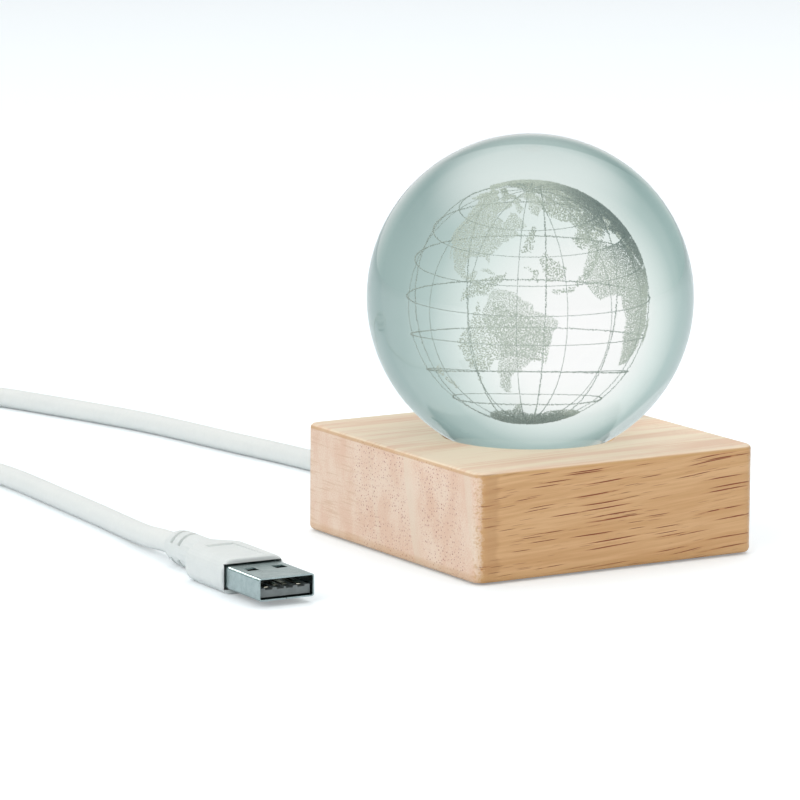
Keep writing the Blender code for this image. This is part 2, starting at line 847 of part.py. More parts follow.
def make_board_underside():
    under = board_bottom - touch_gap
    chip = box(resistor_length, resistor_width, resistor_height, (0, 0, -resistor_height / 2))
    finish(chip, "resistor", chip_black).location = (0, -resistor_offset, under)
    # A drop of solder, round below and flat against the board.
    profile = [(0, -solder_height)]
    for step in range(1, edge_steps + 1):
        angle = quarter_turn * step / edge_steps
        profile.append((solder_radius * math.sin(angle), -solder_height * math.cos(angle)))
    profile.append((0, 0))
    drop = finish(turned(profile, small_sides), "solder_joint_1", solder)
    drop.location = (-solder_spacing / 2, solder_offset, under)
    place(drop.data, "solder_joint_2", (solder_spacing / 2, solder_offset, under))


def recess_cut(name, head_radius, head_height, face_height):
    """A cross-shaped plug that cuts the driver recess into a screw head facing down."""
    reach = head_radius * recess_share
    arm = head_radius * recess_arm_share
    corners = []
    for quarter in range(4):
        turn = Matrix.Rotation(quarter * quarter_turn, 2)
        corners += [turn @ Vector(point) for point in ((reach, -arm), (reach, arm), (arm, arm))]
    low = face_height - cut_overrun
    high = face_height + head_height * recess_depth_share
    shape = loft([[(point.x, point.y, height) for point in corners] for height in (low, high)])
    return cutter(shape, name)


def make_screws():
    # Pan-head screws of the board: the head is below, the shank points up into the wood.
    head_round = board_screw_head_height / 2
    under_head = board_bottom - touch_gap
    low = under_head - board_screw_head_height
    shank_top = board_bottom + board_screw_length
    tip = board_screw_shank_radius
    pan = turned(
        (
            (0, low),
            (board_screw_head_radius - head_round, low),
            (board_screw_head_radius, low + head_round),
            (board_screw_head_radius, under_head),
            (board_screw_shank_radius, under_head),
            (board_screw_shank_radius, shank_top - tip),
            (0, shank_top),
        ),
        small_sides,
    )
    first = finish(pan, "board_screw_1", screw_steel)
    tool = recess_cut("cut_pan_recess", board_screw_head_radius, board_screw_head_height, low)
    seat_screws(first, "board_screw", board_screw_places(), tool)

    # Countersunk screws of the cover, flush with its underside.
    low = cover_bottom
    shank_top = cover_bottom + cover_screw_length
    tip = cover_screw_shank_radius
    flat = turned(
        (
            (0, low),
            (cover_screw_head_radius, low),
            (cover_screw_shank_radius, low + cover_screw_head_height),
            (cover_screw_shank_radius, shank_top - tip),
            (0, shank_top),
        ),
        small_sides,
    )
    first = finish(flat, "cover_screw_1", screw_steel)
    tool = recess_cut("cut_flat_recess", cover_screw_head_radius, cover_screw_head_height, low)
    seat_screws(first, "cover_screw", cover_screw_places(), tool)


def seat_screws(first, name, places, tool):
    """Cuts the recess once, then sets a copy of the screw in each place."""
    cut(first, [tool])
    bpy.context.view_layer.update()
    graph = bpy.context.evaluated_depsgraph_get()
    mesh = bpy.data.meshes.new_from_object(first.evaluated_get(graph))
    first.modifiers.clear()
    first.data = mesh
    bpy.data.objects.remove(tool, do_unlink=True)
    for number, (x, y) in enumerate(places, 1):
        screw = first if number == 1 else place(mesh, f"{name}_{number}")
        screw.location = (x, y, 0)


def make_cover():
    plate = finish(
        slab(cover_half, cover_bottom, cover_top, cover_corner_radius, cover_edge_radius),
        "bottom_cover",
        cover_black,
    )
    sinks = []
    gap = touch_gap
    for number, (x, y) in enumerate(cover_screw_places(), 1):
        shank = cover_screw_shank_radius + gap
        head = cover_screw_head_radius + gap
        sink = turned(
            (
                (0, cover_bottom - cut_overrun),
                (head, cover_bottom - cut_overrun),
                (head, cover_bottom),
                (shank, cover_bottom + cover_screw_head_height),
                (shank, cover_top + cut_overrun),
                (0, cover_top + cut_overrun),
            ),
            small_sides,
        )
        bmesh.ops.translate(sink, verts=sink.verts, vec=(x, y, 0))
        sinks.append(cutter(sink, f"cut_sink_{number}"))
    cut(plate, sinks)


def make_pad():
    corner = cover_corner_radius
    finish(slab(pad_half, 0, pad_thickness, corner, pad_edge_radius), "felt_pad", felt)


def make_inner_cord():
    inner_end = pocket_radius - cord_tail_inside
    outer_end = base_side / 2
    tail = [Vector((0, inner_end, cord_height)), Vector((0, outer_end, cord_height))]
    tube("cord_tail", tail, cord_radius, cord_bevel_resolution, cord_white)

    wire_start = inner_end - touch_gap
    wire_end_height = board_bottom - touch_gap * 2 - solder_height - wire_radius
    for name, side, surface in (("wire_red", -1, wire_red), ("wire_black", 1, wire_black)):
        start_x = side * wire_spacing / 2
        end_x = side * solder_spacing / 2
        run = wire_start - solder_offset
        turn_up = wire_start - run * wire_rise_share
        route = (
            (start_x, wire_start, cord_height),
            (start_x, wire_start - wire_radius, cord_height),
            (end_x, turn_up, cord_height),
            (end_x, solder_offset + solder_radius, wire_end_height),
            (end_x, solder_offset, wire_end_height),
        )
        points = smooth_path(route, wire_point_spacing)
        tube(name, points, wire_radius, wire_bevel_resolution, surface)

    # The tie is a band round the cord just inside the wall, with its lock box at one side.
    inner = tie_radius - tie_thickness
    middle = pocket_radius - tie_from_wall - tie_width / 2
    rings = []
    for step in range(bore_sides // 2):
        angle = full_turn * step / (bore_sides // 2)
        ring = []
        for radius, offset in (
            (inner, -tie_width / 2),
            (tie_radius, -tie_width / 2),
            (tie_radius, tie_width / 2),
            (inner, tie_width / 2),
        ):
            x = radius * math.cos(angle)
            z = cord_height + radius * math.sin(angle)
            ring.append((x, middle + offset, z))
        rings.append(ring)
    band = finish(loft(rings, closed=True), "cable_tie", tie_nylon)
    head_centre = (inner + tie_head_width / 2 + tie_thickness / 2, middle, cord_height)
    head = box(tie_head_width, tie_width + tie_thickness, tie_head_height, head_centre)
    helper = cutter(head, "join_tie_head")
    combine(band, "UNION", [helper])


def coil_path():
    """The spiral in, the climb and the spiral out, with a straight diameter of cord at each end."""
    pitch = cord_diameter + coil_turn_gap
    floor_layer = cord_radius + touch_gap * 2 + strap_thickness
    sweep = coil_exit_angle - coil_entry_angle + full_turn * coil_whole_turns
    steps = round(sweep / full_turn * points_per_loop)
    points = []
    for step in range(steps + 1):
        turned_by = sweep * step / steps
        from_middle = abs(turned_by - sweep / 2)
        radius = coil_outer_radius - pitch * (sweep / 2 - from_middle) / full_turn
        climb = min(max((turned_by - sweep / 2) / math.pi + 0.5, 0.0), 1.0)
        climb = climb * climb * (3 - 2 * climb)
        angle = coil_entry_angle + turned_by
        points.append(
            Vector(
                (
                    coil_centre_x + radius * math.cos(angle),
                    coil_centre_y + radius * math.sin(angle),
                    floor_layer + pitch * climb,
                )
            )
        )
    heading_in = Vector((-math.sin(coil_entry_angle), math.cos(coil_entry_angle), 0))
    heading_out = Vector((-math.sin(coil_exit_angle), math.cos(coil_exit_angle), 0))
    points.insert(0, points[0] - heading_in * cord_diameter)
    points.append(points[-1] + heading_out * cord_diameter)
    return points, heading_in, heading_out


def above_floor(route):
    return [Vector((x, y, cord_floor_height + lift)) for x, y, lift in route]


def make_free_cord():
    coil, heading_in, heading_out = coil_path()
    tube("cord_coil", coil, cord_radius, coil_bevel_resolution, cord_white)

    # Each run meets its neighbours face to face and goes straight on for one diameter.
    base_exit = Vector((0, base_side / 2 + touch_gap, cord_height))
    coil_start = coil[0] - heading_in * touch_gap
    base_run = [base_exit, base_exit + Vector((0, cord_diameter, 0))]
    base_run += above_floor(base_run_route)
    base_run += [coil_start - heading_in * cord_diameter, coil_start]
    base_points = smooth_path(base_run, cord_point_spacing)
    tube("cord_base_run", base_points, cord_radius, cord_bevel_resolution, cord_white)

    back = Vector((-math.sin(plug_turn), math.cos(plug_turn), 0))
    mouth = Vector((plug_mouth_x, plug_mouth_y, plug_mid_height))
    plug_end = mouth + back * (relief_end + touch_gap)
    coil_end = coil[-1] + heading_out * touch_gap
    plug_run = [coil_end, coil_end + heading_out * cord_diameter]
    plug_run += above_floor(plug_run_route)
    plug_run += [plug_end + back * cord_diameter, plug_end]
    plug_points = smooth_path(plug_run, cord_point_spacing)
    tube("cord_plug_run", plug_points, cord_radius, cord_bevel_resolution, cord_white)

    skip = points_per_loop // 2
    for name, points in (("coil", coil), ("whole cord", base_points + coil + plug_points)):
        gap = least_gap(points, skip, cord_diameter)
        print(f"{name}: {path_length(points):.3f} m, least gap to itself {gap / mm:.2f} mm")
    return coil


def make_coil_strap(coil):
    """A flat strap round the bundle of turns, fitted to where the turns lie at its angle."""
    centre = Vector((coil_centre_x, coil_centre_y, 0))
    radii = []
    heights = []
    for point in coil:
        offset = point - centre
        turn = math.atan2(offset.y, offset.x) - strap_angle
        if abs(math.remainder(turn, full_turn)) < full_turn / points_per_loop:
            radii.append(offset.xy.length)
            heights.append(point.z)
    room = cord_radius + touch_gap
    half_width = (max(radii) - min(radii)) / 2 + room + touch_gap
    half_height = (max(heights) - min(heights)) / 2 + room
    across = (max(radii) + min(radii)) / 2
    height = (max(heights) + min(heights)) / 2
    inside = rounded_outline(half_width, half_height, cord_radius)
    outside = rounded_outline(
        half_width + strap_thickness, half_height + strap_thickness, cord_radius + strap_thickness
    )
    rings = []
    for near, far in zip(inside, outside):
        ring = []
        for point, side in ((near, -1), (far, -1), (far, 1), (near, 1)):
            ring.append((across + point.x, side * strap_width / 2, height + point.y))
        rings.append(ring)
    strap = finish(loft(rings, closed=True), "coil_tie", strap_white)
    strap.location = centre
    strap.rotation_euler = (0, 0, strap_angle)


def section(half_width, half_height, radius, along):
    outline = rounded_outline(half_width, half_height, radius)
    return [(point.x, along, point.y) for point in outline]


def make_plug_shell(plug):
    # A strip of sheet folded into a tube, its two edges meeting in a seam underneath.
    half_x = shell_width / 2
    half_z = shell_height / 2
    outer = rounded_outline(half_x, half_z, shell_corner_radius)
    inner = rounded_outline(
        half_x - shell_wall, half_z - shell_wall, shell_corner_radius - shell_wall
    )
    # Both outlines start at the right side and are turned to start at the seam.
    first_low_right = 3 * (corner_steps + 1)
    folded = []
    for outline, half_height in ((outer, half_z), (inner, half_z - shell_wall)):
        ordered = outline[first_low_right:] + outline[:first_low_right]
        seam_right = Vector((shell_seam / 2, -half_height))
        seam_left = Vector((-shell_seam / 2, -half_height))
        folded.append([seam_right, *ordered, seam_left])
    shape = bmesh.new()
    grid = []
    for along in (0, shell_length):
        for outline in folded:
            grid.append([shape.verts.new((point.x, along, point.y)) for point in outline])
    front_out, front_in, back_out, back_in = grid
    last = len(front_out) - 1
    for index in range(last):
        after = index + 1
        shape.faces.new((front_out[index], front_out[after], back_out[after], back_out[index]))
        shape.faces.new((front_in[after], front_in[index], back_in[index], back_in[after]))
        shape.faces.new((front_out[after], front_out[index], front_in[index], front_in[after]))
        shape.faces.new((back_out[index], back_out[after], back_in[after], back_in[index]))
    for index in (0, last):
        shape.faces.new((front_out[index], back_out[index], back_in[index], front_in[index]))
    shell = finish(shape, "plug_shell", shell_steel)
    shell.parent = plug

    openings = []
    window_height = shell_height + cut_overrun * 2
    for number, side in enumerate((-1, 1), 1):
        x = side * shell_window_spacing / 2
        hole = box(
            shell_window_width, shell_window_length, window_height, (x, shell_window_from_mouth, 0)
        )
        openings.append(cutter(hole, f"cut_window_{number}", plug))
    slot_centre = (0, shell_latch_from_mouth, half_z)
    slot = box(shell_latch_width, shell_latch_length, cut_overrun, slot_centre)
    openings.append(cutter(slot, "cut_latch_slot", plug))
    cut(shell, openings)


def make_plug_tongue(plug):
    half = shell_width / 2 - shell_wall - touch_gap
    low = -shell_height / 2 + shell_wall + touch_gap
    high = low + tongue_thickness
    groove_half = contact_width / 2 + touch_gap
    floor = high - contact_groove_depth
    profile = [(-half, low), (half, low), (half, high)]
    for middle in reversed(contact_pitches):
        profile += [(middle + groove_half, high), (middle + groove_half, floor)]
        profile += [(middle - groove_half, floor), (middle - groove_half, high)]
    profile.append((-half, high))
    front = tongue_from_mouth
    back = tongue_from_mouth + tongue_length
    rings = [[(x, along, z) for x, z in profile] for along in (front, back)]
    tongue = finish(loft(rings), "plug_tongue", tongue_grey)
    tongue.parent = plug

    # Spring contacts lie in the grooves, their front tips turned down.
    base = floor + touch_gap
    for number, middle in enumerate(contact_pitches, 1):
        outer_pair = abs(middle) == max(contact_pitches)
        start = outer_contact_from_mouth if outer_pair else inner_contact_from_mouth
        left = middle - contact_width / 2
        right = middle + contact_width / 2
        rings = []
        for along, lift in (
            (start, contact_thickness / 2),
            (start + contact_tip_length, contact_thickness),
            (contact_back, contact_thickness),
        ):
            ring = ((left, base), (right, base), (right, base + lift), (left, base + lift))
            rings.append([(x, along, z) for x, z in ring])
        strip = finish(loft(rings), f"plug_contact_{number}", contact_gold)
        strip.parent = plug


def make_plug_grip(plug):
    half_x = grip_width / 2
    half_z = grip_height / 2
    rings = []
    for step in range(edge_steps + 1):
        angle = quarter_turn * step / edge_steps
        inset = grip_face_round * (1 - math.sin(angle))
        along = shell_exposed + grip_face_round * (1 - math.cos(angle))
        rings.append(section(half_x - inset, half_z - inset, grip_edge_radius - inset, along))
    # The shoulder narrows from the flat grip to the round relief.
    for step in range(shoulder_steps + 1):
        share = step / shoulder_steps
        blend = share * share * (3 - 2 * share)
        width = half_x + (half_z - half_x) * blend
        radius = grip_edge_radius + (half_z - grip_edge_radius) * blend
        rings.append(section(width, half_z, radius, grip_back + (shoulder_end - grip_back) * share))
    rounding = relief_end - relief_round_start
    drop = half_z - relief_end_radius
    for step in range(edge_steps + 2):
        angle = quarter_turn * step / (edge_steps + 1)
        radius = half_z - drop * (1 - math.cos(angle))
        rings.append(section(radius, radius, radius, relief_round_start + rounding * math.sin(angle)))
    grip = finish(loft(rings), "plug_overmould", plug_white)
    grip.parent = plug

    # The shell, tongue and contacts go into a pocket in the front face.
    pocket_depth = shell_length - shell_exposed + touch_gap
    pocket_middle = shell_exposed + (pocket_depth - cut_overrun) / 2
    pocket = box(
        shell_width + touch_gap * 2,
        pocket_depth + cut_overrun,
        shell_height + touch_gap * 2,
        (0, pocket_middle, 0),
    )
    cuts = [cutter(pocket, "cut_shell_pocket", plug)]
    # Flat thumb panels above and below, deepest at the back of the grip.
    for name, side in (("cut_panel_top", 1), ("cut_panel_under", -1)):
        rings = []
        for along, depth in ((shell_exposed - cut_overrun, 0), (panel_back, panel_depth)):
            low = side * (half_z - depth)
            high = side * (half_z + cut_overrun)
            edge = panel_width / 2
            rings.append(
                [(-edge, along, low), (edge, along, low), (edge, along, high), (-edge, along, high)]
            )
        cuts.append(cutter(loft(rings), name, plug))
    # Each groove of the relief is cut from above and from below, with a web left at both sides.
    for number, along in enumerate(groove_places, 1):
        for name, middle in (("top", quarter_turn), ("under", -quarter_turn)):
            tool = groove_cut(along, middle - groove_half_sweep, middle + groove_half_sweep)
            cuts.append(cutter(tool, f"cut_groove_{name}_{number}", plug))
    cut(grip, cuts)


def groove_cut(along, start, end):
    inner = grip_height / 2 - groove_depth
    outer = grip_height / 2 + cut_overrun
    rings = []
    for step in range(groove_steps + 1):
        angle = start + (end - start) * step / groove_steps
        ring = []
        for radius, offset in ((inner, -1), (outer, -1), (outer, 1), (inner, 1)):
            y = along + offset * groove_width / 2
            ring.append((radius * math.cos(angle), y, radius * math.sin(angle)))
        rings.append(ring)
    return loft(rings)


clear_scene()
edge_shading = sharp_edge_group()
helper_surface = material("helper", (0.9, 0.2, 0.2), 1.0)
wood = material("wood", (0.78, 0.58, 0.40), 0.55)
crystal = material("crystal", (0.90, 0.96, 0.95), 0.0, clear=True)
frosted_plastic = material("frosted_plastic", (0.92, 0.92, 0.90), 0.35)
board_white = material("board_white", (0.85, 0.86, 0.84), 0.45)
led_yellow = material("led_yellow", (0.93, 0.80, 0.35), 0.3)
chip_black = material("chip_black", (0.03, 0.03, 0.03), 0.4)
solder = material("solder", (0.75, 0.76, 0.78), 0.25, 1.0)
screw_steel = material("screw_steel", (0.62, 0.60, 0.56), 0.3, 1.0)
cover_black = material("cover_black", (0.04, 0.04, 0.04), 0.5)
felt = material("felt", (0.05, 0.05, 0.06), 0.95)
cord_white = material("cord_white", (0.88, 0.90, 0.89), 0.4)
wire_red = material("wire_red", (0.65, 0.04, 0.03), 0.4)
wire_black = material("wire_black", (0.03, 0.03, 0.03), 0.4)
tie_nylon = material("tie_nylon", (0.80, 0.80, 0.76), 0.4)
strap_white = material("strap_white", (0.85, 0.86, 0.85), 0.6)
plug_white = material("plug_white", (0.86, 0.89, 0.87), 0.4)
shell_steel = material("shell_steel", (0.58, 0.62, 0.62), 0.25, 1.0)
engraving = material("engraving", (0.78, 0.81, 0.78), 0.7)
tongue_grey = material("tongue_grey", (0.30, 0.34, 0.34), 0.5)
contact_gold = material("contact_gold", (0.85, 0.72, 0.42), 0.2, 1.0)

make_base()
make_ball()
make_engraving()
make_window()
make_board()
make_leds()
make_board_underside()
make_screws()
make_cover()
make_pad()
make_inner_cord()
make_coil_strap(make_free_cord())

plug_place = place(None, "plug_place", (plug_mouth_x, plug_mouth_y, plug_mid_height), plug_turn)
make_plug_shell(plug_place)
make_plug_tongue(plug_place)
make_plug_grip(plug_place)
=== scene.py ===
import math

import bmesh
import bpy
from mathutils import Matrix, Vector
from mathutils.geometry import tessellate_polygon


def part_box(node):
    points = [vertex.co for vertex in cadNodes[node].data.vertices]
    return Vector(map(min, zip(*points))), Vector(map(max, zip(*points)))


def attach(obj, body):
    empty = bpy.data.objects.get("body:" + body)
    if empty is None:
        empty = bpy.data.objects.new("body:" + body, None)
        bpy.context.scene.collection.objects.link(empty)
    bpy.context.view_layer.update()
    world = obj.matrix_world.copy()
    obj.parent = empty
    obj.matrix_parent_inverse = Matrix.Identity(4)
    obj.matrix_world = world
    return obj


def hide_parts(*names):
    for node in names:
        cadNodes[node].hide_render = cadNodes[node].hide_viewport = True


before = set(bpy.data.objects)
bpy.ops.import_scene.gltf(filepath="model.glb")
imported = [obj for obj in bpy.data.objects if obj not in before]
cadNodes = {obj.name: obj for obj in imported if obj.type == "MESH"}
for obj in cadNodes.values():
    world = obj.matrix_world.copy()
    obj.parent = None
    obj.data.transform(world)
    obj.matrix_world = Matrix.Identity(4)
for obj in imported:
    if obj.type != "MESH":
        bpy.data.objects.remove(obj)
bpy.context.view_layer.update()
mm = 0.001
print("frame loaded:", len(cadNodes), "nodes")


class Wire:  # one socket of the tree being drawn; arithmetic on it adds Math nodes
    tree = None

    def __init__(self, socket):
        self.socket = socket

    @classmethod
    def add(cls, kind, settings=None, inputs=None, output=0):
        node = cls.tree.nodes.new(kind)
        for name, value in (settings or {}).items():
            if name == "stops":
                ramp = node.color_ramp
                while len(ramp.elements) < len(value):
                    ramp.elements.new(0.5)
                for stop, (place, colour) in zip(ramp.elements, value):
                    stop.position = place
                    stop.color = (*colour, 1)
            else:
                setattr(node, name, value)
        for key, value in (inputs or {}).items():
            if isinstance(value, Wire):
                cls.tree.links.new(value.socket, node.inputs[key])
            elif isinstance(value, tuple) and node.inputs[key].type == "RGBA":
                node.inputs[key].default_value = (*value, 1)
            else:
                node.inputs[key].default_value = value
        return cls(node.outputs[output]) if node.outputs else None

    def out(self, output):  # another socket of the same node
        return Wire(self.socket.node.outputs[output])

    @classmethod
    def math(cls, operation, first, second=0.0):
        return cls.add("ShaderNodeMath", {"operation": operation}, {0: first, 1: second})

    def __add__(self, other): return self.math("ADD", self, other)
    def __radd__(self, other): return self.math("ADD", other, self)
    def __sub__(self, other): return self.math("SUBTRACT", self, other)
    def __rsub__(self, other): return self.math("SUBTRACT", other, self)
    def __mul__(self, other): return self.math("MULTIPLY", self, other)
    def __rmul__(self, other): return self.math("MULTIPLY", other, self)
    def __truediv__(self, other): return self.math("DIVIDE", self, other)
    def __rtruediv__(self, other): return self.math("DIVIDE", other, self)
    def __pow__(self, other): return self.math("POWER", self, other)


def eased(value, low, high):  # a smooth step from 0 at low to 1 at high
    return Wire.add("ShaderNodeMapRange", {"interpolation_type": "SMOOTHSTEP"},
                    {"Value": value, "From Min": low, "From Max": high})


def limited(value):
    return Wire.math("MINIMUM", Wire.math("MAXIMUM", value, 0.0), 1.0)


def blended(factor, first, second, way="MIX"):
    return Wire.add("ShaderNodeMix", {"data_type": "RGBA", "blend_type": way}, {0: factor, 6: first, 7: second}, 2)


def objectPlace():
    return Wire.add("ShaderNodeTexCoord", output="Object")


def stretched(place, sizes, turn=(0, 0, 0)):  # sizes are the pattern's lengths along x, y and z
    return Wire.add("ShaderNodeMapping", {"vector_type": "POINT"},
                    {"Vector": place, "Rotation": turn, "Scale": tuple(1 / size for size in sizes)})


def cloudy(place, detail, roughness=0.5):
    return Wire.add("ShaderNodeTexNoise", inputs={"Vector": place, "Scale": 1.0, "Detail": detail,
                                                  "Roughness": roughness})


def flatCells(place):  # the distance from the nearest of the points strewn over a plane
    return Wire.add("ShaderNodeTexVoronoi", {"voronoi_dimensions": "2D"}, {"Vector": place, "Scale": 1.0})


def parts(vector):
    split = Wire.add("ShaderNodeSeparateXYZ", inputs={0: vector})
    return split, split.out(1), split.out(2)


def joined(x, y, z):
    return Wire.add("ShaderNodeCombineXYZ", inputs={0: x, 1: y, 2: z})


def dot(first, second):
    return Wire.add("ShaderNodeVectorMath", {"operation": "DOT_PRODUCT"}, {0: first, 1: tuple(second)}, "Value")


def relief(height, distance):
    return Wire.add("ShaderNodeBump", inputs={"Strength": 1.0, "Distance": distance, "Height": height})


def openMaterial(name):
    made = bpy.data.materials.new(name)
    made.use_nodes = True
    made.node_tree.nodes.clear()
    Wire.tree = made.node_tree
    return made


def closeMaterial(made, inputs):
    shader = Wire.add("ShaderNodeBsdfPrincipled", inputs=inputs)
    Wire.add("ShaderNodeOutputMaterial", inputs={"Surface": shader})
    return made


def plainFinish(name, colour, shade, grain, roughness, bump, metallic=0.0):
    # a moulded, cast or rolled surface: two close colours, an uneven gloss and a fine relief
    made = openMaterial(name)
    place = objectPlace()
    fine = cloudy(stretched(place, (grain,) * 3), detail=4.0)
    broad = cloudy(stretched(place, (grain * 9,) * 3), detail=2.0)
    return closeMaterial(made, {
        "Base Color": blended(eased(fine * 0.45 + broad * 0.55, 0.35, 0.65), colour, shade),
        "Roughness": roughness * 0.85 + broad * roughness * 0.3,
        "Metallic": metallic,
        "Normal": relief(fine, bump),
    })


def wear(nodeName, surface):  # a CAD node keeps its shape and takes a finish
    for spot in cadNodes[nodeName].material_slots:
        spot.material = surface


def addPiece(name, mesh, surface, body="base", replaced=()):
    mesh.materials.clear()
    mesh.materials.append(surface)
    made = bpy.data.objects.new(name, mesh)
    bpy.context.scene.collection.objects.link(made)
    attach(made, body)
    if replaced:
        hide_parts(*replaced)
    return made


def numbered(stem, count):
    return [f"{stem}_{number}" for number in range(1, count + 1)]


meshSet = {"merge": 0.0005 * mm, "sharpAngle": math.radians(35.0)}


def toMesh(name, shape):
    bmesh.ops.remove_doubles(shape, verts=shape.verts, dist=meshSet["merge"])
    bmesh.ops.recalc_face_normals(shape, faces=shape.faces)
    for face in shape.faces:
        face.smooth = True
    for edge in shape.edges:
        edge.smooth = edge.calc_face_angle(0.0) < meshSet["sharpAngle"]
    mesh = bpy.data.meshes.new(name)
    shape.to_mesh(mesh)
    shape.free()
    return mesh


def grown(name, mesh, tree, values):  # a Geometry Nodes result as a plain mesh
    holder = bpy.data.objects.new(name, mesh)
    bpy.context.scene.collection.objects.link(holder)
    growth = holder.modifiers.new(name, "NODES")
    growth.node_group = tree
    for item in tree.interface.items_tree:
        if item.item_type == "SOCKET" and item.in_out == "INPUT" and item.name in values:
            growth[item.identifier] = values[item.name]
    evaluated = holder.evaluated_get(bpy.context.evaluated_depsgraph_get())
    result = bpy.data.meshes.new_from_object(evaluated)
    holder.modifiers.clear()
    bpy.data.objects.remove(holder)
    return result


# camera, lamps and floor
cameraSet = {
    "place": (-0.57740, -0.89543, 0.21570),
    "yaw": math.radians(-31.41),
    "pitch": math.radians(9.94),
    "roll": math.radians(0.40),
    "lens": 240.4,
    "film": 36,
    "nearest": 0.05,
}
yaw, pitch, roll = (cameraSet[key] for key in ("yaw", "pitch", "roll"))
across = Vector((math.cos(yaw), math.sin(yaw), 0))
upright = Vector((-math.sin(yaw) * math.sin(pitch), math.cos(yaw) * math.sin(pitch), math.cos(pitch)))
rolledAcross = across * math.cos(roll) + upright * math.sin(roll)
rolledUp = upright * math.cos(roll) - across * math.sin(roll)
turned = Matrix((rolledAcross, rolledUp, rolledAcross.cross(rolledUp))).transposed()
cameraData = bpy.data.cameras.new("camera")
cameraData.lens = cameraSet["lens"]
cameraData.sensor_width = cameraSet["film"]
cameraData.clip_start = cameraSet["nearest"]
camera = bpy.data.objects.new("camera", cameraData)
camera.matrix_world = Matrix.Translation(cameraSet["place"]) @ turned.to_4x4()
bpy.context.scene.collection.objects.link(camera)
bpy.context.scene.camera = camera
bpy.context.scene.view_settings.view_transform = "Standard"

lampSet = (  # place, aimed at, side in metres, watts, colour
    ("lampLeft", (-0.95, -0.35, 0.75), (0, 0, 0.02), 0.9, 6.0, (1.0, 0.99, 0.97)),
    ("lampTop", (0.25, 0.35, 1.25), (0, 0, 0.02), 1.0, 6.5, (1.0, 1.0, 1.0)),
    ("lampFront", (0.55, -1.15, 0.65), (0, 0, 0.03), 0.8, 2.0, (1.0, 0.99, 0.98)),
)
spotSet = {"energy": 24.0, "spot_size": math.radians(3.8), "spot_blend": 1.0, "shadow_soft_size": 0.01}
spotPlace, spotTarget = (-0.70, -0.30, 0.42), (0.024, 0.004, 0.0224)


def addLamp(name, kind, place, target, settings, mirrored=False, onlyOn=None):
    lampData = bpy.data.lights.new(name, kind)
    for key, value in settings.items():
        setattr(lampData, key, value)
    lamp = bpy.data.objects.new(name, lampData)
    lamp.location = place
    lamp.rotation_euler = (Vector(target) - lamp.location).to_track_quat("-Z", "Y").to_euler()
    lamp.visible_glossy = mirrored
    lamp.visible_transmission = False
    bpy.context.scene.collection.objects.link(lamp)
    if onlyOn:
        lit = bpy.data.collections.new("litBy" + name)
        lit.objects.link(cadNodes[onlyOn])
        lamp.light_linking.receiver_collection = lit


for name, place, target, side, watts, colour in lampSet:
    addLamp(name, "AREA", place, target, {"shape": "SQUARE", "size": side, "energy": watts, "color": colour})
# the light that the ball gathers on the wood behind its foot
addLamp("gatheredLight", "SPOT", spotPlace, spotTarget, spotSet, onlyOn="wooden_base")

skySet = {
    "ambient": (0.55, 0.55, 0.55),
    "seenByGlass": (  # cosine of the angle from the bright place, and the colour there
        (0.00, (0.31, 0.42, 0.41)), (0.21, (0.32, 0.43, 0.42)), (0.50, (0.385, 0.505, 0.49)),
        (0.707, (0.49, 0.615, 0.595)), (0.857, (0.78, 0.87, 0.845)), (0.951, (0.97, 0.985, 0.975)),
        (0.985, (1, 1, 1)), (1.0, (1, 1, 1))),
    "brightToward": Vector((math.sin(math.radians(17.5)), math.cos(math.radians(17.5)), 0.038)).normalized(),
    "narrowing": 0.16,
    "oppositeToward": Vector((-0.35, -0.93, 0.05)).normalized(),  # a dimmer one across from it
    "oppositeDimming": 0.24,
    "tableToward": Vector((0.299, 0.490, -0.818)).normalized(),  # the lit tabletop behind
    "tableReach": (0.80, 0.985),  # cosines where it starts and where it is whole
    "tableTone": (0.90, 0.96, 0.94),
    "tableShare": 0.72,
    "darkToward": Vector((-0.45, -0.56, -0.695)).normalized(),  # the table's near side
    "darkReach": math.radians(67.7),
    "darkSoftness": 0.012,
    "darkTone": (0.70, 0.755, 0.75),
    "boxToward": Vector((-0.41, 0.55, 0.73)).normalized(),  # a soft box above and behind, on the left
    "boxReach": math.radians(20.0),
    "boxSoftness": 0.01,
    "boxShare": 0.45,
    "ceiling": (0.10, 0.15, 0.15),
    "ceilingRise": (0.10, 0.42),
    "ceilingShare": 0.6,
}


def within(kind):  # 1 inside the set angle from the set direction
    edge, softness = math.cos(skySet[kind + "Reach"]), skySet[kind + "Softness"]
    return eased(dot(heading, skySet[kind + "Toward"]), edge - softness, edge + softness)


world = bpy.data.worlds.new("studio")
world.use_nodes = True
world.node_tree.nodes.clear()
Wire.tree = world.node_tree
rays = Wire.add("ShaderNodeLightPath", output="Is Camera Ray")
heading = Wire.add("ShaderNodeTexCoord", output="Generated")
sideward = dot(heading, across)
toward = dot(heading, skySet["brightToward"]) - sideward * sideward * skySet["narrowing"]  # taller than it is wide
toward = Wire.math("MAXIMUM", toward, dot(heading, skySet["oppositeToward"]) - skySet["oppositeDimming"])
glassSky = Wire.add("ShaderNodeValToRGB", {"stops": skySet["seenByGlass"]}, {0: toward})
tableward = eased(dot(heading, skySet["tableToward"]), *skySet["tableReach"])
glassSky = blended(tableward * skySet["tableShare"], glassSky, skySet["tableTone"])
glassSky = blended(within("dark"), glassSky, blended(1.0, glassSky, skySet["darkTone"], "MULTIPLY"))
glassSky = blended(within("box") * skySet["boxShare"], glassSky, (1, 1, 1))
seen = rays.out("Is Glossy Ray") + rays.out("Is Transmission Ray")
mirrored = Wire.math("MAXIMUM", rays.out("Is Glossy Ray") - rays.out("Is Transmission Ray"), 0.0)
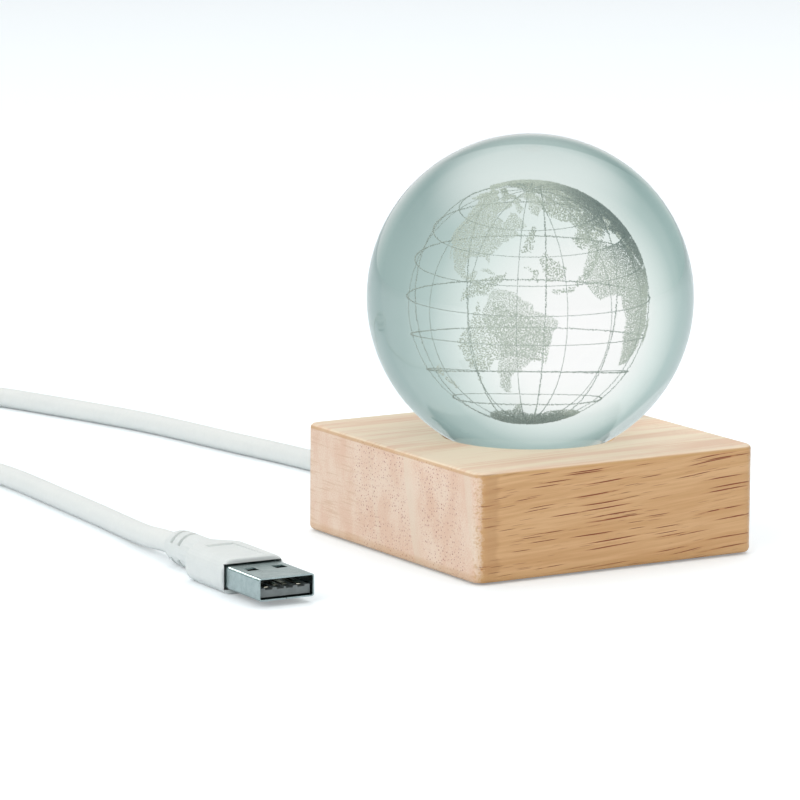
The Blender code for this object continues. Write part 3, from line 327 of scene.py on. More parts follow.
overhead = eased(parts(heading)[2], *skySet["ceilingRise"]) * skySet["ceilingShare"] * mirrored
glassSky = blended(overhead, glassSky, skySet["ceiling"])  # a dim ceiling, mirrored in the glass and the metal
sky = blended(seen, skySet["ambient"], glassSky)
sky = blended(rays, sky, (1, 1, 1))
Wire.add("ShaderNodeOutputWorld", inputs={"Surface": Wire.add("ShaderNodeBackground", inputs={"Color": sky})})
bpy.context.scene.world = world

floorSet = {"half": 4.0, "colour": (0.80, 0.855, 0.885), "glow": 0.26}
floorShape = bmesh.new()
bmesh.ops.create_grid(floorShape, x_segments=1, y_segments=1, size=floorSet["half"])
floorMesh = toMesh("floor", floorShape)
floorPaint = openMaterial("floorPaint")
seenStraight = Wire.add("ShaderNodeLightPath", output="Is Camera Ray")
matt = Wire.add("ShaderNodeBsdfDiffuse", inputs={"Color": floorSet["colour"]})
glow = Wire.add("ShaderNodeEmission", inputs={"Color": (1, 1, 1), "Strength": seenStraight * floorSet["glow"]})
lit = Wire.add("ShaderNodeAddShader", inputs={0: matt, 1: glow})
Wire.add("ShaderNodeOutputMaterial", inputs={"Surface": lit})
floorMesh.materials.append(floorPaint)
floor = bpy.data.objects.new("floor", floorMesh)
floor.visible_transmission = False
bpy.context.scene.collection.objects.link(floor)
print("camera, lamps and floor set")


# the cord: base exit, long run, coil and run to the plug, on one smooth line
cordSet = {
    "diameter": 4.5 * mm,
    "exit": (0, 33.3 * mm, 6.6 * mm),
    "floorHeight": 2.3 * mm,
    "gap": 0.3 * mm,
    "coilCentre": (-78 * mm, 184 * mm),
    "coilRadius": 30 * mm,
    "turnPitch": 5.1 * mm,
    "coilHeight": 3.65 * mm,
    "coilEntry": math.radians(90),
    "coilExit": math.radians(230),
    "turns": 4,
    "pointsPerTurn": 48,
    "stepsEach": 8,
    "plugMouth": (-73.7 * mm, -29.4 * mm, 3.55 * mm),
    "plugTurn": math.radians(-1.8),
    "plugLength": 46.3 * mm,
    "fromBase": (
        (0.0000, 0.0460, 0.0039), (0.0002, 0.0600, 0.0017), (0.0006, 0.0740, 0.0003),
        (0.0007, 0.0887, 0.0000), (-0.0034, 0.1165, 0.0000), (-0.0078, 0.1454, 0.0000),
        (-0.0119, 0.1616, 0.0000), (-0.0166, 0.1771, 0.0000), (-0.0218, 0.1925, 0.0000),
        (-0.0292, 0.2042, 0.0002), (-0.0400, 0.2110, 0.0006), (-0.0530, 0.2136, 0.0010),
    ),
    "toPlug": (
        (-0.0836, 0.1486, 0.0048), (-0.0770, 0.1408, 0.0024), (-0.0710, 0.1308, 0.0007),
        (-0.0669, 0.1193, 0.0001), (-0.0651, 0.1055, 0.0000), (-0.0667, 0.0769, 0.0000),
        (-0.0682, 0.0565, 0.0000), (-0.0696, 0.0435, 0.0001), (-0.0714, 0.0300, 0.0006),
    ),
}


def smoothLine(points, stepsEach):  # centripetal Catmull-Rom between two straight ends
    points = [Vector(point) for point in points]
    made = [points[0]]
    for before, start, end, after in zip(points, points[1:], points[2:], points[3:]):
        t1 = math.sqrt((start - before).length)
        t2 = t1 + math.sqrt((end - start).length)
        t3 = t2 + math.sqrt((after - end).length)
        for step in range(stepsEach):
            t = t1 + (t2 - t1) * step / stepsEach
            a1 = before.lerp(start, t / t1)
            a2 = start.lerp(end, (t - t1) / (t2 - t1))
            a3 = end.lerp(after, (t - t2) / (t3 - t2))
            made.append(a1.lerp(a2, t / t2).lerp(a2.lerp(a3, (t - t1) / (t3 - t1)), (t - t1) / (t2 - t1)))
    return made + [points[-2], points[-1]]


def lineLength(points):
    return sum((end - start).length for start, end in zip(points, points[1:]))


def coilLine():
    centre, pitch = cordSet["coilCentre"], cordSet["turnPitch"]
    sweep = cordSet["coilExit"] - cordSet["coilEntry"] + math.tau * cordSet["turns"]
    count = round(sweep / math.tau * cordSet["pointsPerTurn"])
    made = []
    for step in range(count + 1):
        turn = sweep * step / count
        fromMiddle = abs(turn - sweep / 2)
        radius = cordSet["coilRadius"] - pitch * (sweep / 2 - fromMiddle) / math.tau
        climb = min(max((turn - sweep / 2) / math.pi + 0.5, 0.0), 1.0)
        height = cordSet["coilHeight"] + pitch * climb * climb * (3 - 2 * climb)
        angle = cordSet["coilEntry"] + turn
        made.append(Vector((centre[0] + radius * math.cos(angle), centre[1] + radius * math.sin(angle), height)))
    headingIn = Vector((-math.sin(cordSet["coilEntry"]), math.cos(cordSet["coilEntry"]), 0))
    headingOut = Vector((-math.sin(cordSet["coilExit"]), math.cos(cordSet["coilExit"]), 0))
    made.insert(0, made[0] - headingIn * cordSet["diameter"])
    made.append(made[-1] + headingOut * cordSet["diameter"])
    return made, headingIn, headingOut


def onFloor(route):
    return [Vector((x, y, cordSet["floorHeight"] + lift)) for x, y, lift in route]


def cordLine():
    coil, headingIn, headingOut = coilLine()
    diameter, gap, steps = cordSet["diameter"], cordSet["gap"], cordSet["stepsEach"]
    start = Vector(cordSet["exit"])
    coilStart = coil[0] - headingIn * gap
    first = [start, start + Vector((0, diameter, 0)), *onFloor(cordSet["fromBase"]),
             coilStart - headingIn * diameter, coilStart]
    back = Vector((-math.sin(cordSet["plugTurn"]), math.cos(cordSet["plugTurn"]), 0))
    plugEnd = Vector(cordSet["plugMouth"]) + back * cordSet["plugLength"]
    coilEnd = coil[-1] + headingOut * gap
    last = [coilEnd, coilEnd + headingOut * diameter, *onFloor(cordSet["toPlug"]),
            plugEnd + back * diameter, plugEnd]
    return smoothLine(first, steps) + coil + smoothLine(last, steps)


def curvePiece(name, points, radius, surface, rings=5):
    curve = bpy.data.curves.new(name, "CURVE")
    curve.dimensions = "3D"
    curve.bevel_depth = radius
    curve.bevel_resolution = rings
    curve.use_fill_caps = True
    line = curve.splines.new("POLY")
    line.points.add(len(points) - 1)
    for spot, point in zip(line.points, points):
        spot.co = (*point, 1)
    line.use_smooth = True
    curve.materials.append(surface)
    made = bpy.data.objects.new(name, curve)
    bpy.context.scene.collection.objects.link(made)
    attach(made, "base")
    return made


cordWhite = plainFinish("cordWhite", (0.83, 0.85, 0.83), (0.80, 0.825, 0.81), 0.9 * mm, 0.42, 0.004 * mm)
cordPoints = cordLine()
cord = curvePiece("cord", cordPoints, cordSet["diameter"] / 2, cordWhite)
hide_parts("cord_base_run", "cord_coil", "cord_plug_run")
cord.visible_transmission = False
plugNodes = ["plug_overmould", "plug_shell", "plug_tongue", *numbered("plug_contact", 4)]
for name in plugNodes:
    cadNodes[name].visible_transmission = False
print("cord laid:", round(lineLength(cordPoints), 4), "m")


# glass ball
ballSet = {
    "centre": Vector((0, 0, 50.3 * mm)),
    "radius": 33 * mm,
    "segments": 192,
    "rings": 96,
    "bend": 1.5,  # refractive index
    "middleTint": (0.985, 0.99, 0.985),
    "sideShade": (0.94, 0.968, 0.962),
    "rimShade": (0.795, 0.876, 0.868),
}
glass = openMaterial("crystal")
# the glass's own faint tint in the middle, and painted shade that darkens it towards the rim
facing = Wire.add("ShaderNodeLayerWeight", inputs={"Blend": 0.5}, output="Facing")
tintAndRimShade = Wire.add("ShaderNodeValToRGB", {"stops": (
    (0.0, ballSet["middleTint"]), (0.35, ballSet["middleTint"]), (0.56, ballSet["sideShade"]),
    (0.62, ballSet["rimShade"]), (0.82, ballSet["rimShade"]), (1.0, ballSet["sideShade"]))}, {0: facing})
closeMaterial(glass, {"Base Color": tintAndRimShade, "Roughness": 0.0, "IOR": ballSet["bend"], "Transmission Weight": 1.0})
ballShape = bmesh.new()
bmesh.ops.create_uvsphere(ballShape, u_segments=ballSet["segments"], v_segments=ballSet["rings"],
                          radius=ballSet["radius"])
bmesh.ops.translate(ballShape, verts=ballShape.verts, vec=ballSet["centre"])
ball = addPiece("glassBall", toMesh("glassBall", ballShape), glass, "ball", ("crystal_ball",))
ball.visible_shadow = False  # clear glass lets the lamps through to the wood and the engraving
print("glass ball made")


# world globe engraved in the ball: lands as fine stipple, parallels and meridians as dotted lines
globeSet = {
    "centre": ballSet["centre"] + Vector((-0.24 * mm, 0.15 * mm, -0.7 * mm)),
    "radius": 16.3 * mm,
    "turn": math.radians(-69.6),
    "dotSpacing": 0.084 * mm,
    "dotRadius": 0.102 * mm,
    "dotDepth": 0.10 * mm,
    "lineStep": 0.115 * mm,
    "lineDotRadius": 0.098 * mm,
    "lineWobble": 0.04 * mm,
    "landShift": 3.5,  # degrees north of the lines, as the engraving has it
    "eastward": {"borneo", "celebes", "philippines", "java", "sumatra", "newGuinea", "australia", "tasmania"},
    "eastShift": 3.5,
    "parallelStep": 17.5,
    "meridianStep": 30,
    "parallels": range(-3, 4),
    "lons": range(0, 360, 3),
    "lats": range(-88, 89, 2),
    "longestEdge": 4.0,
    "highestLat": 89.5,
    "pinnedBelow": -85,
    # the way to the painted shade on the engraving
    "shadeToward": (0.667, -0.264, 0.697),
    "grain": 0.3 * mm,
    "landSeed": 7,
    "lineSeed": 3,
}
lands = {
    "northAmerica": ((-168, 66), (-162, 70), (-156, 71), (-141, 70), (-128, 70), (-115, 68), (-108, 68), (-96, 68),
                     (-94, 72), (-85, 69), (-82, 67), (-87, 64), (-94, 60), (-92, 57), (-82, 55), (-80, 51),
                     (-79, 55), (-77, 60), (-78, 62), (-70, 61), (-65, 59), (-61, 56), (-56, 52), (-60, 50),
                     (-66, 50), (-64, 47), (-60, 46), (-66, 44), (-70, 43), (-70, 41), (-74, 40), (-76, 36),
                     (-81, 31), (-80, 26), (-82, 28), (-84, 30), (-90, 29), (-95, 29), (-97, 26), (-97, 21),
                     (-94, 18), (-91, 19), (-90, 21), (-87, 21), (-88, 16), (-84, 15), (-83, 10), (-79, 9),
                     (-77, 8), (-80, 7), (-84, 9), (-87, 13), (-93, 15), (-97, 16), (-105, 20), (-106, 23),
                     (-110, 27), (-113, 31), (-115, 31), (-110, 24), (-113, 27), (-117, 33), (-121, 35), (-124, 40),
                     (-124, 48), (-130, 54), (-136, 58), (-146, 61), (-152, 59), (-158, 57), (-163, 55), (-158, 59),
                     (-164, 60), (-165, 63), (-161, 65)),
    "greenland": ((-73, 78), (-60, 82), (-35, 83), (-20, 81), (-20, 74), (-24, 70), (-36, 66), (-43, 60),
                  (-50, 62), (-54, 67), (-54, 70), (-58, 75), (-68, 76)),
    "baffin": ((-90, 73), (-80, 74), (-68, 69), (-62, 66), (-66, 62), (-73, 65), (-78, 69), (-88, 71)),
    "ellesmere": ((-90, 77), (-88, 81), (-70, 83), (-62, 82), (-77, 78), (-82, 76)),
    "victoria": ((-117, 72), (-106, 74), (-100, 70), (-105, 69), (-114, 69)),
    "banks": ((-125, 74), (-117, 76), (-105, 77), (-98, 76), (-108, 75), (-118, 73)),
    "cuba": ((-85, 22), (-80, 23.3), (-74, 20), (-78, 20)),
    "hispaniola": ((-74, 20), (-69, 19.5), (-68, 18), (-74, 18)),
    "southAmerica": ((-77, 8), (-75, 11), (-72, 12), (-67, 11), (-62, 10.5), (-57, 6), (-51, 4), (-50, 0),
                     (-44, -2), (-37, -5), (-35, -8), (-39, -13), (-39, -18), (-42, -23), (-48, -26), (-49, -29),
                     (-53, -33), (-57, -36), (-57, -38), (-62, -39), (-65, -42), (-66, -46), (-66, -50), (-69, -53),
                     (-66, -55), (-72, -54), (-75, -50), (-73, -44), (-74, -38), (-71, -30), (-70, -22), (-70, -18),
                     (-76, -14), (-79, -8), (-81, -5), (-80, 0), (-78, 3)),
    "africa": ((-6, 36), (3, 37), (10, 37), (11, 33), (15, 32), (20, 31), (25, 32), (32, 31),
               (34, 27), (37, 21), (39, 16), (43, 12), (51, 12), (46, 5), (41, -2), (39, -8),
               (40, -15), (35, -20), (35, -24), (32, -29), (27, -34), (19, -35), (17, -30), (12, -18),
               (13, -9), (9, -1), (9, 4), (4, 6), (-4, 5), (-8, 4), (-13, 8), (-17, 14),
               (-17, 21), (-13, 27), (-10, 30)),
    "madagascar": ((44, -20), (44, -16), (49, -12), (50, -16), (47, -25)),
    "eurasia": ((-9, 37), (-9, 43), (-2, 43), (-1, 46), (-4, 48), (2, 51), (8, 54), (8, 57),
                (11, 56), (12, 54), (20, 55), (22, 59), (28, 60), (22, 61), (25, 65), (22, 66),
                (17, 62), (19, 60), (16, 56), (12, 57), (11, 59), (5, 59), (5, 62), (12, 66),
                (18, 70), (28, 71), (41, 67), (33, 67), (38, 64), (44, 66), (46, 68), (60, 69),
                (68, 68), (69, 73), (75, 72), (80, 72), (87, 75), (104, 78), (113, 74), (127, 73),
                (140, 73), (160, 70), (171, 70), (180, 69), (190, 66), (180, 62), (170, 60), (163, 58),
                (162, 54), (157, 51), (156, 57), (163, 62), (155, 59), (143, 59), (135, 55), (141, 53),
                (140, 48), (132, 43), (128, 39), (129, 35), (126, 35), (125, 38), (121, 39), (118, 38),
                (122, 37), (119, 35), (122, 31), (120, 26), (114, 22), (108, 21), (106, 18), (109, 13),
                (107, 10), (105, 9), (102, 13), (100, 13), (99, 9), (104, 2), (101, 3), (98, 9),
                (97, 16), (94, 16), (92, 21), (87, 21), (80, 15), (80, 12), (77, 8), (73, 17),
                (72, 21), (67, 24), (61, 25), (57, 27), (51, 29), (48, 30), (51, 25), (56, 26),
                (60, 22), (55, 17), (45, 13), (43, 14), (39, 21), (35, 28), (34, 31), (36, 36),
                (30, 36), (27, 37), (26, 40), (30, 41), (41, 41), (37, 45), (39, 47), (33, 46),
                (30, 45), (28, 42), (24, 40), (23, 37), (20, 41), (14, 45), (12, 44), (18, 40),
                (16, 38), (12, 42), (8, 44), (3, 43), (0, 40), (-2, 37), (-6, 36)),
    "britain": ((-5, 50), (1, 51), (0, 53), (-2, 56), (-4, 58.5), (-6, 56), (-3, 54), (-5, 52)),
    "ireland": ((-10, 52), (-6, 52), (-6, 55), (-9, 54.5)),
    "iceland": ((-24, 65), (-22, 66.5), (-15, 66.3), (-14, 65), (-18, 63.5), (-22, 64)),
    "newLand": ((52, 71), (56, 73), (66, 76), (69, 76.5), (58, 72)),
    "japan": ((130, 32), (135, 34), (140, 35), (142, 40), (145, 43.5), (141.5, 45), (140, 42), (138, 38),
              (133, 35.5)),
    "sumatra": ((95, 5.5), (104, -2), (106, -6), (102, -4)),
    "java": ((105.5, -6), (114, -7), (114, -8.5), (106, -7.5)),
    "borneo": ((109, 1.5), (113, 4), (117, 7), (119, 4), (116, -4), (110, -3)),
    "celebes": ((119, -5), (119.5, 0), (125, 1.5), (121, -1), (123, -4.5), (121, -3)),
    "newGuinea": ((131, -1), (135, -2), (141, -3), (147, -6), (150, -10.5), (143, -9), (138, -8), (133, -4)),
    "philippines": ((120, 18), (122, 18), (124, 12), (126, 7), (122, 7), (121, 13)),
    "australia": ((114, -22), (118, -20), (122, -17), (129, -15), (136, -12), (136, -16), (141, -17.5), (142, -11),
                  (146, -19), (153, -26), (150, -37), (141, -38), (138, -34), (131, -32), (124, -33), (115, -35),
                  (114, -28)),
    "tasmania": ((145, -41), (148, -41), (147, -43.5)),
    "northIsle": ((173, -35), (178, -38), (175, -41.5), (173, -39)),
    "southIsle": ((173, -41), (174, -42), (169, -47), (166.5, -46), (171, -43)),
    "antarctica": ((-180, -78), (-150, -77), (-120, -74), (-100, -73), (-75, -73), (-65, -67), (-58, -64),
                   (-62, -70), (-62, -75), (-45, -78), (-30, -77), (-15, -72), (0, -70), (30, -69), (60, -67), (90, -66),
                   (120, -66), (150, -68), (170, -72), (165, -78), (180, -78), (180, -89.5), (-180, -89.5)),
}
innerSeas = {"eurasia": (((47, 45), (49, 46.5), (53, 46), (53, 41), (54, 37), (50, 37), (49, 41)),)}


def onGlobe(lon, lat):
    radius, turn = globeSet["radius"], math.radians(lon) + globeSet["turn"]
    level = math.radians(lat)
    return globeSet["centre"] + radius * Vector(
        (math.cos(level) * math.cos(turn), math.cos(level) * math.sin(turn), math.sin(level)))


def landShape(names):
    shape = bmesh.new()
    for name in names:
        aside = globeSet["eastShift"] if name in globeSet["eastward"] else 0.0
        outline = [(lon + aside, lat) for lon, lat in lands[name]]
        loops = [outline, *innerSeas.get(name, ())]
        flat = [Vector((lon, lat, 0)) for loop in loops for lon, lat in loop]
        corners = [shape.verts.new(point) for point in flat]
        for face in tessellate_polygon([[Vector((lon, lat, 0)) for lon, lat in loop] for loop in loops]):
            shape.faces.new([corners[index] for index in face])
    for turn in range(5):  # until no edge spans more than a few degrees
        longEdges = [edge for edge in shape.edges if edge.calc_length() > globeSet["longestEdge"]]
        if not longEdges:
            break
        bmesh.ops.subdivide_edges(shape, edges=longEdges, cuts=1)
        bmesh.ops.triangulate(shape, faces=shape.faces)
    for corner in shape.verts:
        shift = globeSet["landShift"] if corner.co.y > globeSet["pinnedBelow"] else 0.0
        corner.co = onGlobe(corner.co.x, min(corner.co.y + shift, globeSet["highestLat"]))
    mesh = bpy.data.meshes.new("landShape")
    shape.to_mesh(mesh)
    shape.free()
    return mesh


def gridShape():
    points, edges = [], []
    lons, lats = globeSet["lons"], globeSet["lats"]
    for level in globeSet["parallels"]:
        first, lat = len(points), level * globeSet["parallelStep"]
        points += [onGlobe(lon, lat) for lon in lons]
        edges += [(first + step, first + (step + 1) % len(lons)) for step in range(len(lons))]
    for lon in range(0, 360, globeSet["meridianStep"]):
        first = len(points)
        points += [onGlobe(lon, lat) for lat in lats]
        edges += [(first + step, first + step + 1) for step in range(len(lats) - 1)]
    mesh = bpy.data.meshes.new("gridShape")
    mesh.from_pydata(points, edges, [])
    return mesh


def startTree(name, numbers):
    tree = bpy.data.node_groups.new(name, "GeometryNodeTree")
    tree.interface.new_socket("Geometry", in_out="INPUT", socket_type="NodeSocketGeometry")
    tree.interface.new_socket("Geometry", in_out="OUTPUT", socket_type="NodeSocketGeometry")
    for label in numbers:
        tree.interface.new_socket(label, in_out="INPUT", socket_type="NodeSocketFloat")
    tree.interface.new_socket("Seed", in_out="INPUT", socket_type="NodeSocketInt")
    Wire.tree = tree
    return tree, Wire.add("NodeGroupInput")


def dotsOn(points, given, finish):  # a four-sided fleck at every point, unevenly turned and sized
    shift = Wire.add("FunctionNodeRandomValue", {"data_type": "FLOAT_VECTOR"},
                     {"Min": (-1, -1, -1), "Max": (1, 1, 1), "Seed": given.out("Seed")})
    shift = Wire.add("ShaderNodeVectorMath", {"operation": "SCALE"}, {0: shift, "Scale": given.out("Wobble")})
    points = Wire.add("GeometryNodeSetPosition", inputs={"Geometry": points, "Offset": shift})
    fleck = Wire.add("GeometryNodeMeshCone", {"fill_type": "NGON"}, {
        "Vertices": 3, "Radius Top": 0.0, "Radius Bottom": given.out("Dot radius"),
        "Depth": given.out("Dot radius") * 1.4})
    turn = Wire.add("FunctionNodeRandomValue", {"data_type": "FLOAT_VECTOR"},
                    {"Min": (0, 0, 0), "Max": (6.28, 6.28, 6.28), "Seed": given.out("Seed")})
    size = Wire.add("FunctionNodeRandomValue", {"data_type": "FLOAT"},
                    {2: 0.75, 3: 1.2, "Seed": given.out("Seed")}, 1)
    spread = Wire.add("GeometryNodeInstanceOnPoints",
                      inputs={"Points": points, "Instance": fleck, "Rotation": turn, "Scale": size})
    whole = Wire.add("GeometryNodeRealizeInstances", inputs={0: spread})
    dressed = Wire.add("GeometryNodeSetMaterial", inputs={"Geometry": whole, "Material": finish})
    Wire.add("NodeGroupOutput", inputs={0: dressed})


def crackedGlass(name, dark, pale, shadedTone, glow):  # fine cracks with painted shade in the north-east and round the south pole, and a painted glow
    made = openMaterial(name)
    place = objectPlace()
    sparkle = cloudy(stretched(place, (globeSet["grain"],) * 3), detail=1.0)
    outward = Wire.add("ShaderNodeVectorMath", {"operation": "SUBTRACT"}, {0: place, 1: tuple(globeSet["centre"])})
    northEast = dot(outward, globeSet["shadeToward"]) / globeSet["radius"]
    southward = parts(outward)[2] / -globeSet["radius"]
    # painted shade: the flecks darken towards the north-east limb and round the south pole
    paintedLimbShade = eased(northEast, 0.74, 1.02) + eased(southward, 0.86, 1.0) * 0.7
    tone = blended(eased(sparkle, 0.3, 0.7), dark, pale)
    return closeMaterial(made, {
        "Base Color": blended(paintedLimbShade * 0.8, tone, shadedTone),
        "Roughness": 0.7 + sparkle * 0.2,
        # painted light: the flecks glow, standing in for light scattered through the glass, less where the painted
        # shade is
        "Emission Color": blended(paintedLimbShade * 0.9, glow, (0.04, 0.05, 0.05)),
        "Emission Strength": 1.0,
    })


landFlecks = crackedGlass("engravedFlecks", dark=(0.46, 0.485, 0.44), pale=(0.60, 0.63, 0.57),
                          shadedTone=(0.27, 0.315, 0.305), glow=(0.195, 0.21, 0.186))
lineFlecks = crackedGlass("lineFlecks", dark=(0.42, 0.46, 0.43), pale=(0.56, 0.60, 0.56),
                          shadedTone=(0.20, 0.25, 0.24), glow=(0.08, 0.09, 0.08))

stippleTree, given = startTree("stipple", ("Spacing", "Wobble", "Dot radius"))
spots = Wire.add("GeometryNodeDistributePointsOnFaces", {"distribute_method": "POISSON"}, {
    "Mesh": given, "Distance Min": given.out("Spacing"), "Density Max": 1.0e8, "Seed": given.out("Seed")})
dotsOn(spots, given, landFlecks)
landPieces = (
    ("engravedNorthAmerica", "engraved_north_america",
     ("northAmerica", "baffin", "ellesmere", "victoria", "banks", "cuba", "hispaniola")),
    ("engravedGreenland", "engraved_greenland", ("greenland", "iceland")),
    ("engravedSouthAmerica", "engraved_south_america", ("southAmerica",)),
    ("engravedAfrica", "engraved_africa", ("africa", "madagascar")),
    ("engravedEurasia", "engraved_eurasia",
     ("eurasia", "britain", "ireland", "newLand", "japan", "sumatra", "java", "borneo", "celebes", "philippines")),
    ("engravedAustralia", "engraved_australia", ("australia", "newGuinea", "tasmania", "northIsle", "southIsle")),
    ("engravedAntarctica", "engraved_antarctica", ("antarctica",)),
)
landFaces = []
for number, (pieceName, nodeName, names) in enumerate(landPieces):
    dots = grown(pieceName, landShape(names), stippleTree, {
        "Spacing": globeSet["dotSpacing"], "Wobble": globeSet["dotDepth"], "Dot radius": globeSet["dotRadius"],
        "Seed": globeSet["landSeed"] + number})
    addPiece(pieceName, dots, landFlecks, "ball", [nodeName])
    landFaces.append(len(dots.polygons))

lineTree, given = startTree("dottedLines", ("Step", "Wobble", "Dot radius"))
beads = Wire.add("GeometryNodeCurveToPoints", {"mode": "LENGTH"}, {
    "Curve": Wire.add("GeometryNodeMeshToCurve", inputs={"Mesh": given}), "Length": given.out("Step")})
dotsOn(beads, given, lineFlecks)
lineDots = grown("engravedLines", gridShape(), lineTree, {
    "Step": globeSet["lineStep"], "Wobble": globeSet["lineWobble"], "Dot radius": globeSet["lineDotRadius"],
    "Seed": globeSet["lineSeed"]})
addPiece("engravedLines", lineDots, lineFlecks, "ball", ["engraved_grid"])
print("engraving:", landFaces, "and", len(lineDots.polygons), "faces")


# wooden base
woodSet = {
    "half": 33 * mm,
    "top": 22.404 * mm,
    "endPale": (0.900, 0.720, 0.585),
    "endPink": (0.820, 0.570, 0.430),
    "endPore": (0.47, 0.17, 0.13),
    "longPale": (0.765, 0.472, 0.238),
    "longWarm": (0.650, 0.365, 0.162),
    "longStreak": (0.250, 0.045, 0.018),
    "longHalo": (0.540, 0.215, 0.075),
    "topPale": (0.900, 0.755, 0.575),
    "topPink": (0.820, 0.580, 0.420),
    "arris": (0.600, 0.340, 0.130),
    "grainLean": math.radians(3.4),
    "ringLean": 0.22,
    "topLean": 0.05,
    "mouthSpacing": 0.84 * mm,
    "dentDepth": 0.07 * mm,
    "fineStreak": (0.36, 0.12, 0.05),
    "ringPale": (0.86, 0.72, 0.58),
    "rayFleck": (0.66, 0.42, 0.25),
    "edgeShade": (0.50, 0.26, 0.11),
}
wood = openMaterial("paleHardwood")
place = objectPlace()
alongX, alongY, alongZ = parts(place)


def near(value, low, high):  # 1 between low and high, softly outside
    return eased(value, low - (high - low) * 0.5, low) * eased(value, high + (high - low) * 0.5, high)


half, topHeight = woodSet["half"], woodSet["top"]
endFace = eased(Wire.math("ABSOLUTE", alongX), half - 0.9 * mm, half - 0.25 * mm)
topFace = eased(alongZ, topHeight - 0.75 * mm, topHeight - 0.2 * mm)
longSide = eased(Wire.math("ABSOLUTE", alongY), half - 0.9 * mm, half - 0.25 * mm)

# long grain: fibres along x that rise a little towards the right, with open vessels as dark dashes
lean = math.tan(woodSet["grainLean"])
fibreHeight = alongZ - alongX * lean
waviness = cloudy(stretched(place, (26 * mm, 9 * mm, 9 * mm)), detail=1.0)
fibreHeight = fibreHeight + (waviness - 0.5) * 1.6 * mm
sideways = joined(alongX, alongY * 0.2, fibreHeight)
fibres = cloudy(stretched(sideways, (14 * mm, 0.7 * mm, 0.45 * mm)), detail=4.0, roughness=0.6)
layers = cloudy(stretched(sideways, (60 * mm, 6 * mm, 2.6 * mm)), detail=2.0)
longTone = eased(fibres * 0.5 + layers * 0.5, 0.36, 0.64)
longColour = blended(longTone, woodSet["longPale"], woodSet["longWarm"])
vesselRoom = cloudy(stretched(sideways, (22 * mm, 20 * mm, 3.2 * mm)), detail=1.0)


def dashes(length, height, shift, thinnest, thickest):  # one dash in each cell, of uneven size
    cell = flatCells(stretched(joined(alongX + shift, fibreHeight, 0.0), (length, height, 1.0)))
    reach = thinnest + parts(cell.out("Color"))[0] * (thickest - thinnest)
    return (1 - cell / reach) * 2.4


coarse = dashes(30 * mm, 0.66 * mm, 0.0, 0.05, 0.23)
finer = dashes(15 * mm, 0.50 * mm, 4.3 * mm, 0.04, 0.17)
ragged = eased(cloudy(stretched(sideways, (2.6 * mm, 1 * mm, 0.30 * mm)), detail=1.0), 0.26, 0.46)
room = eased(vesselRoom, 0.30, 0.46)
alongGrain = 1 - endFace
vessels = limited(coarse) * room * ragged * alongGrain
fineVessels = limited(finer) * eased(vesselRoom, 0.42, 0.56) * 0.6 * alongGrain
longColour = blended(limited(coarse * 0.6 + 0.45) * room * 0.6, longColour, woodSet["longHalo"])
longColour = blended(vessels * 0.92, longColour, woodSet["longStreak"])
longColour = blended(fineVessels, longColour, woodSet["fineStreak"])

# top: the same fibres, paler and softer; the paler colour is partly painted sheen
topPlace = joined(alongX, alongY - alongX * woodSet["topLean"], 0.0)
topBands = cloudy(stretched(topPlace, (75 * mm, 7.5 * mm, 1.0)), detail=2.0)
topFibres = cloudy(stretched(topPlace, (20 * mm, 0.8 * mm, 1.0)), detail=3.0)
topTone = eased(topBands * 0.66 + topFibres * 0.34, 0.42, 0.60)
topColour = blended(topTone, woodSet["topPale"], woodSet["topPink"])

# end grain: growth bands that lean, and the vessels' round mouths
ringPlace = alongY - (alongZ - topHeight) * woodSet["ringLean"]
ringWander = cloudy(stretched(joined(alongX * 0.1, alongY, alongZ), (30 * mm, 30 * mm, 12 * mm)), detail=1.0)
ringPlace = ringPlace + (ringWander - 0.5) * 2.0 * mm
endCloud = cloudy(stretched(place, (9 * mm, 5 * mm, 9 * mm)), detail=3.0)
endSpeck = cloudy(stretched(place, (0.5 * mm, 0.32 * mm, 0.32 * mm)), detail=2.0)
endColour = blended(eased(endCloud * 0.55 + endSpeck * 0.45, 0.38, 0.62), woodSet["endPale"], woodSet["endPink"])
paleRings = (eased(ringPlace, -9.5 * mm, -6.0 * mm) * eased(ringPlace, -4.9 * mm, -5.4 * mm)
             + near(ringPlace, -29.5 * mm, -28.0 * mm) * 0.8 + near(ringPlace, 7.6 * mm, 8.6 * mm) * 0.45)
endColour = blended(limited(paleRings) * 0.55, endColour, woodSet["ringPale"])
rayFlecks = cloudy(stretched(joined(0.0, alongY, alongZ), (1.0, 9 * mm, 0.45 * mm)), detail=2.0)
endColour = blended(eased(rayFlecks, 0.52, 0.68) * eased(ringPlace, 10 * mm, 18 * mm) * 0.4,
                    endColour, woodSet["rayFleck"])
spacing = woodSet["mouthSpacing"]
mouth = flatCells(stretched(joined(alongY, alongZ, 0.0), (spacing, spacing, 1.0)))
mouthChance, mouthShade = parts(mouth.out("Color"))[:2]
mouthRoom = (eased(ringPlace, 19 * mm, 13 * mm) * eased(ringPlace, -5.4 * mm, -4.6 * mm)
             + eased(ringPlace, -8.5 * mm, -10.5 * mm) * eased(ringPlace, -27 * mm, -23 * mm))
thin = eased(cloudy(stretched(joined(0.0, alongY, alongZ), (1.0, 6 * mm, 6 * mm)), detail=1.0), 0.28, 0.44)
mouths = (eased(mouth / (0.12 + mouthShade * 0.09), 1.2, 0.5)
          * eased(mouthChance, 0.12, 0.20) * limited(mouthRoom) * thin * (0.5 + mouthShade * 0.5))
endColour = blended(mouths, endColour, woodSet["endPore"])

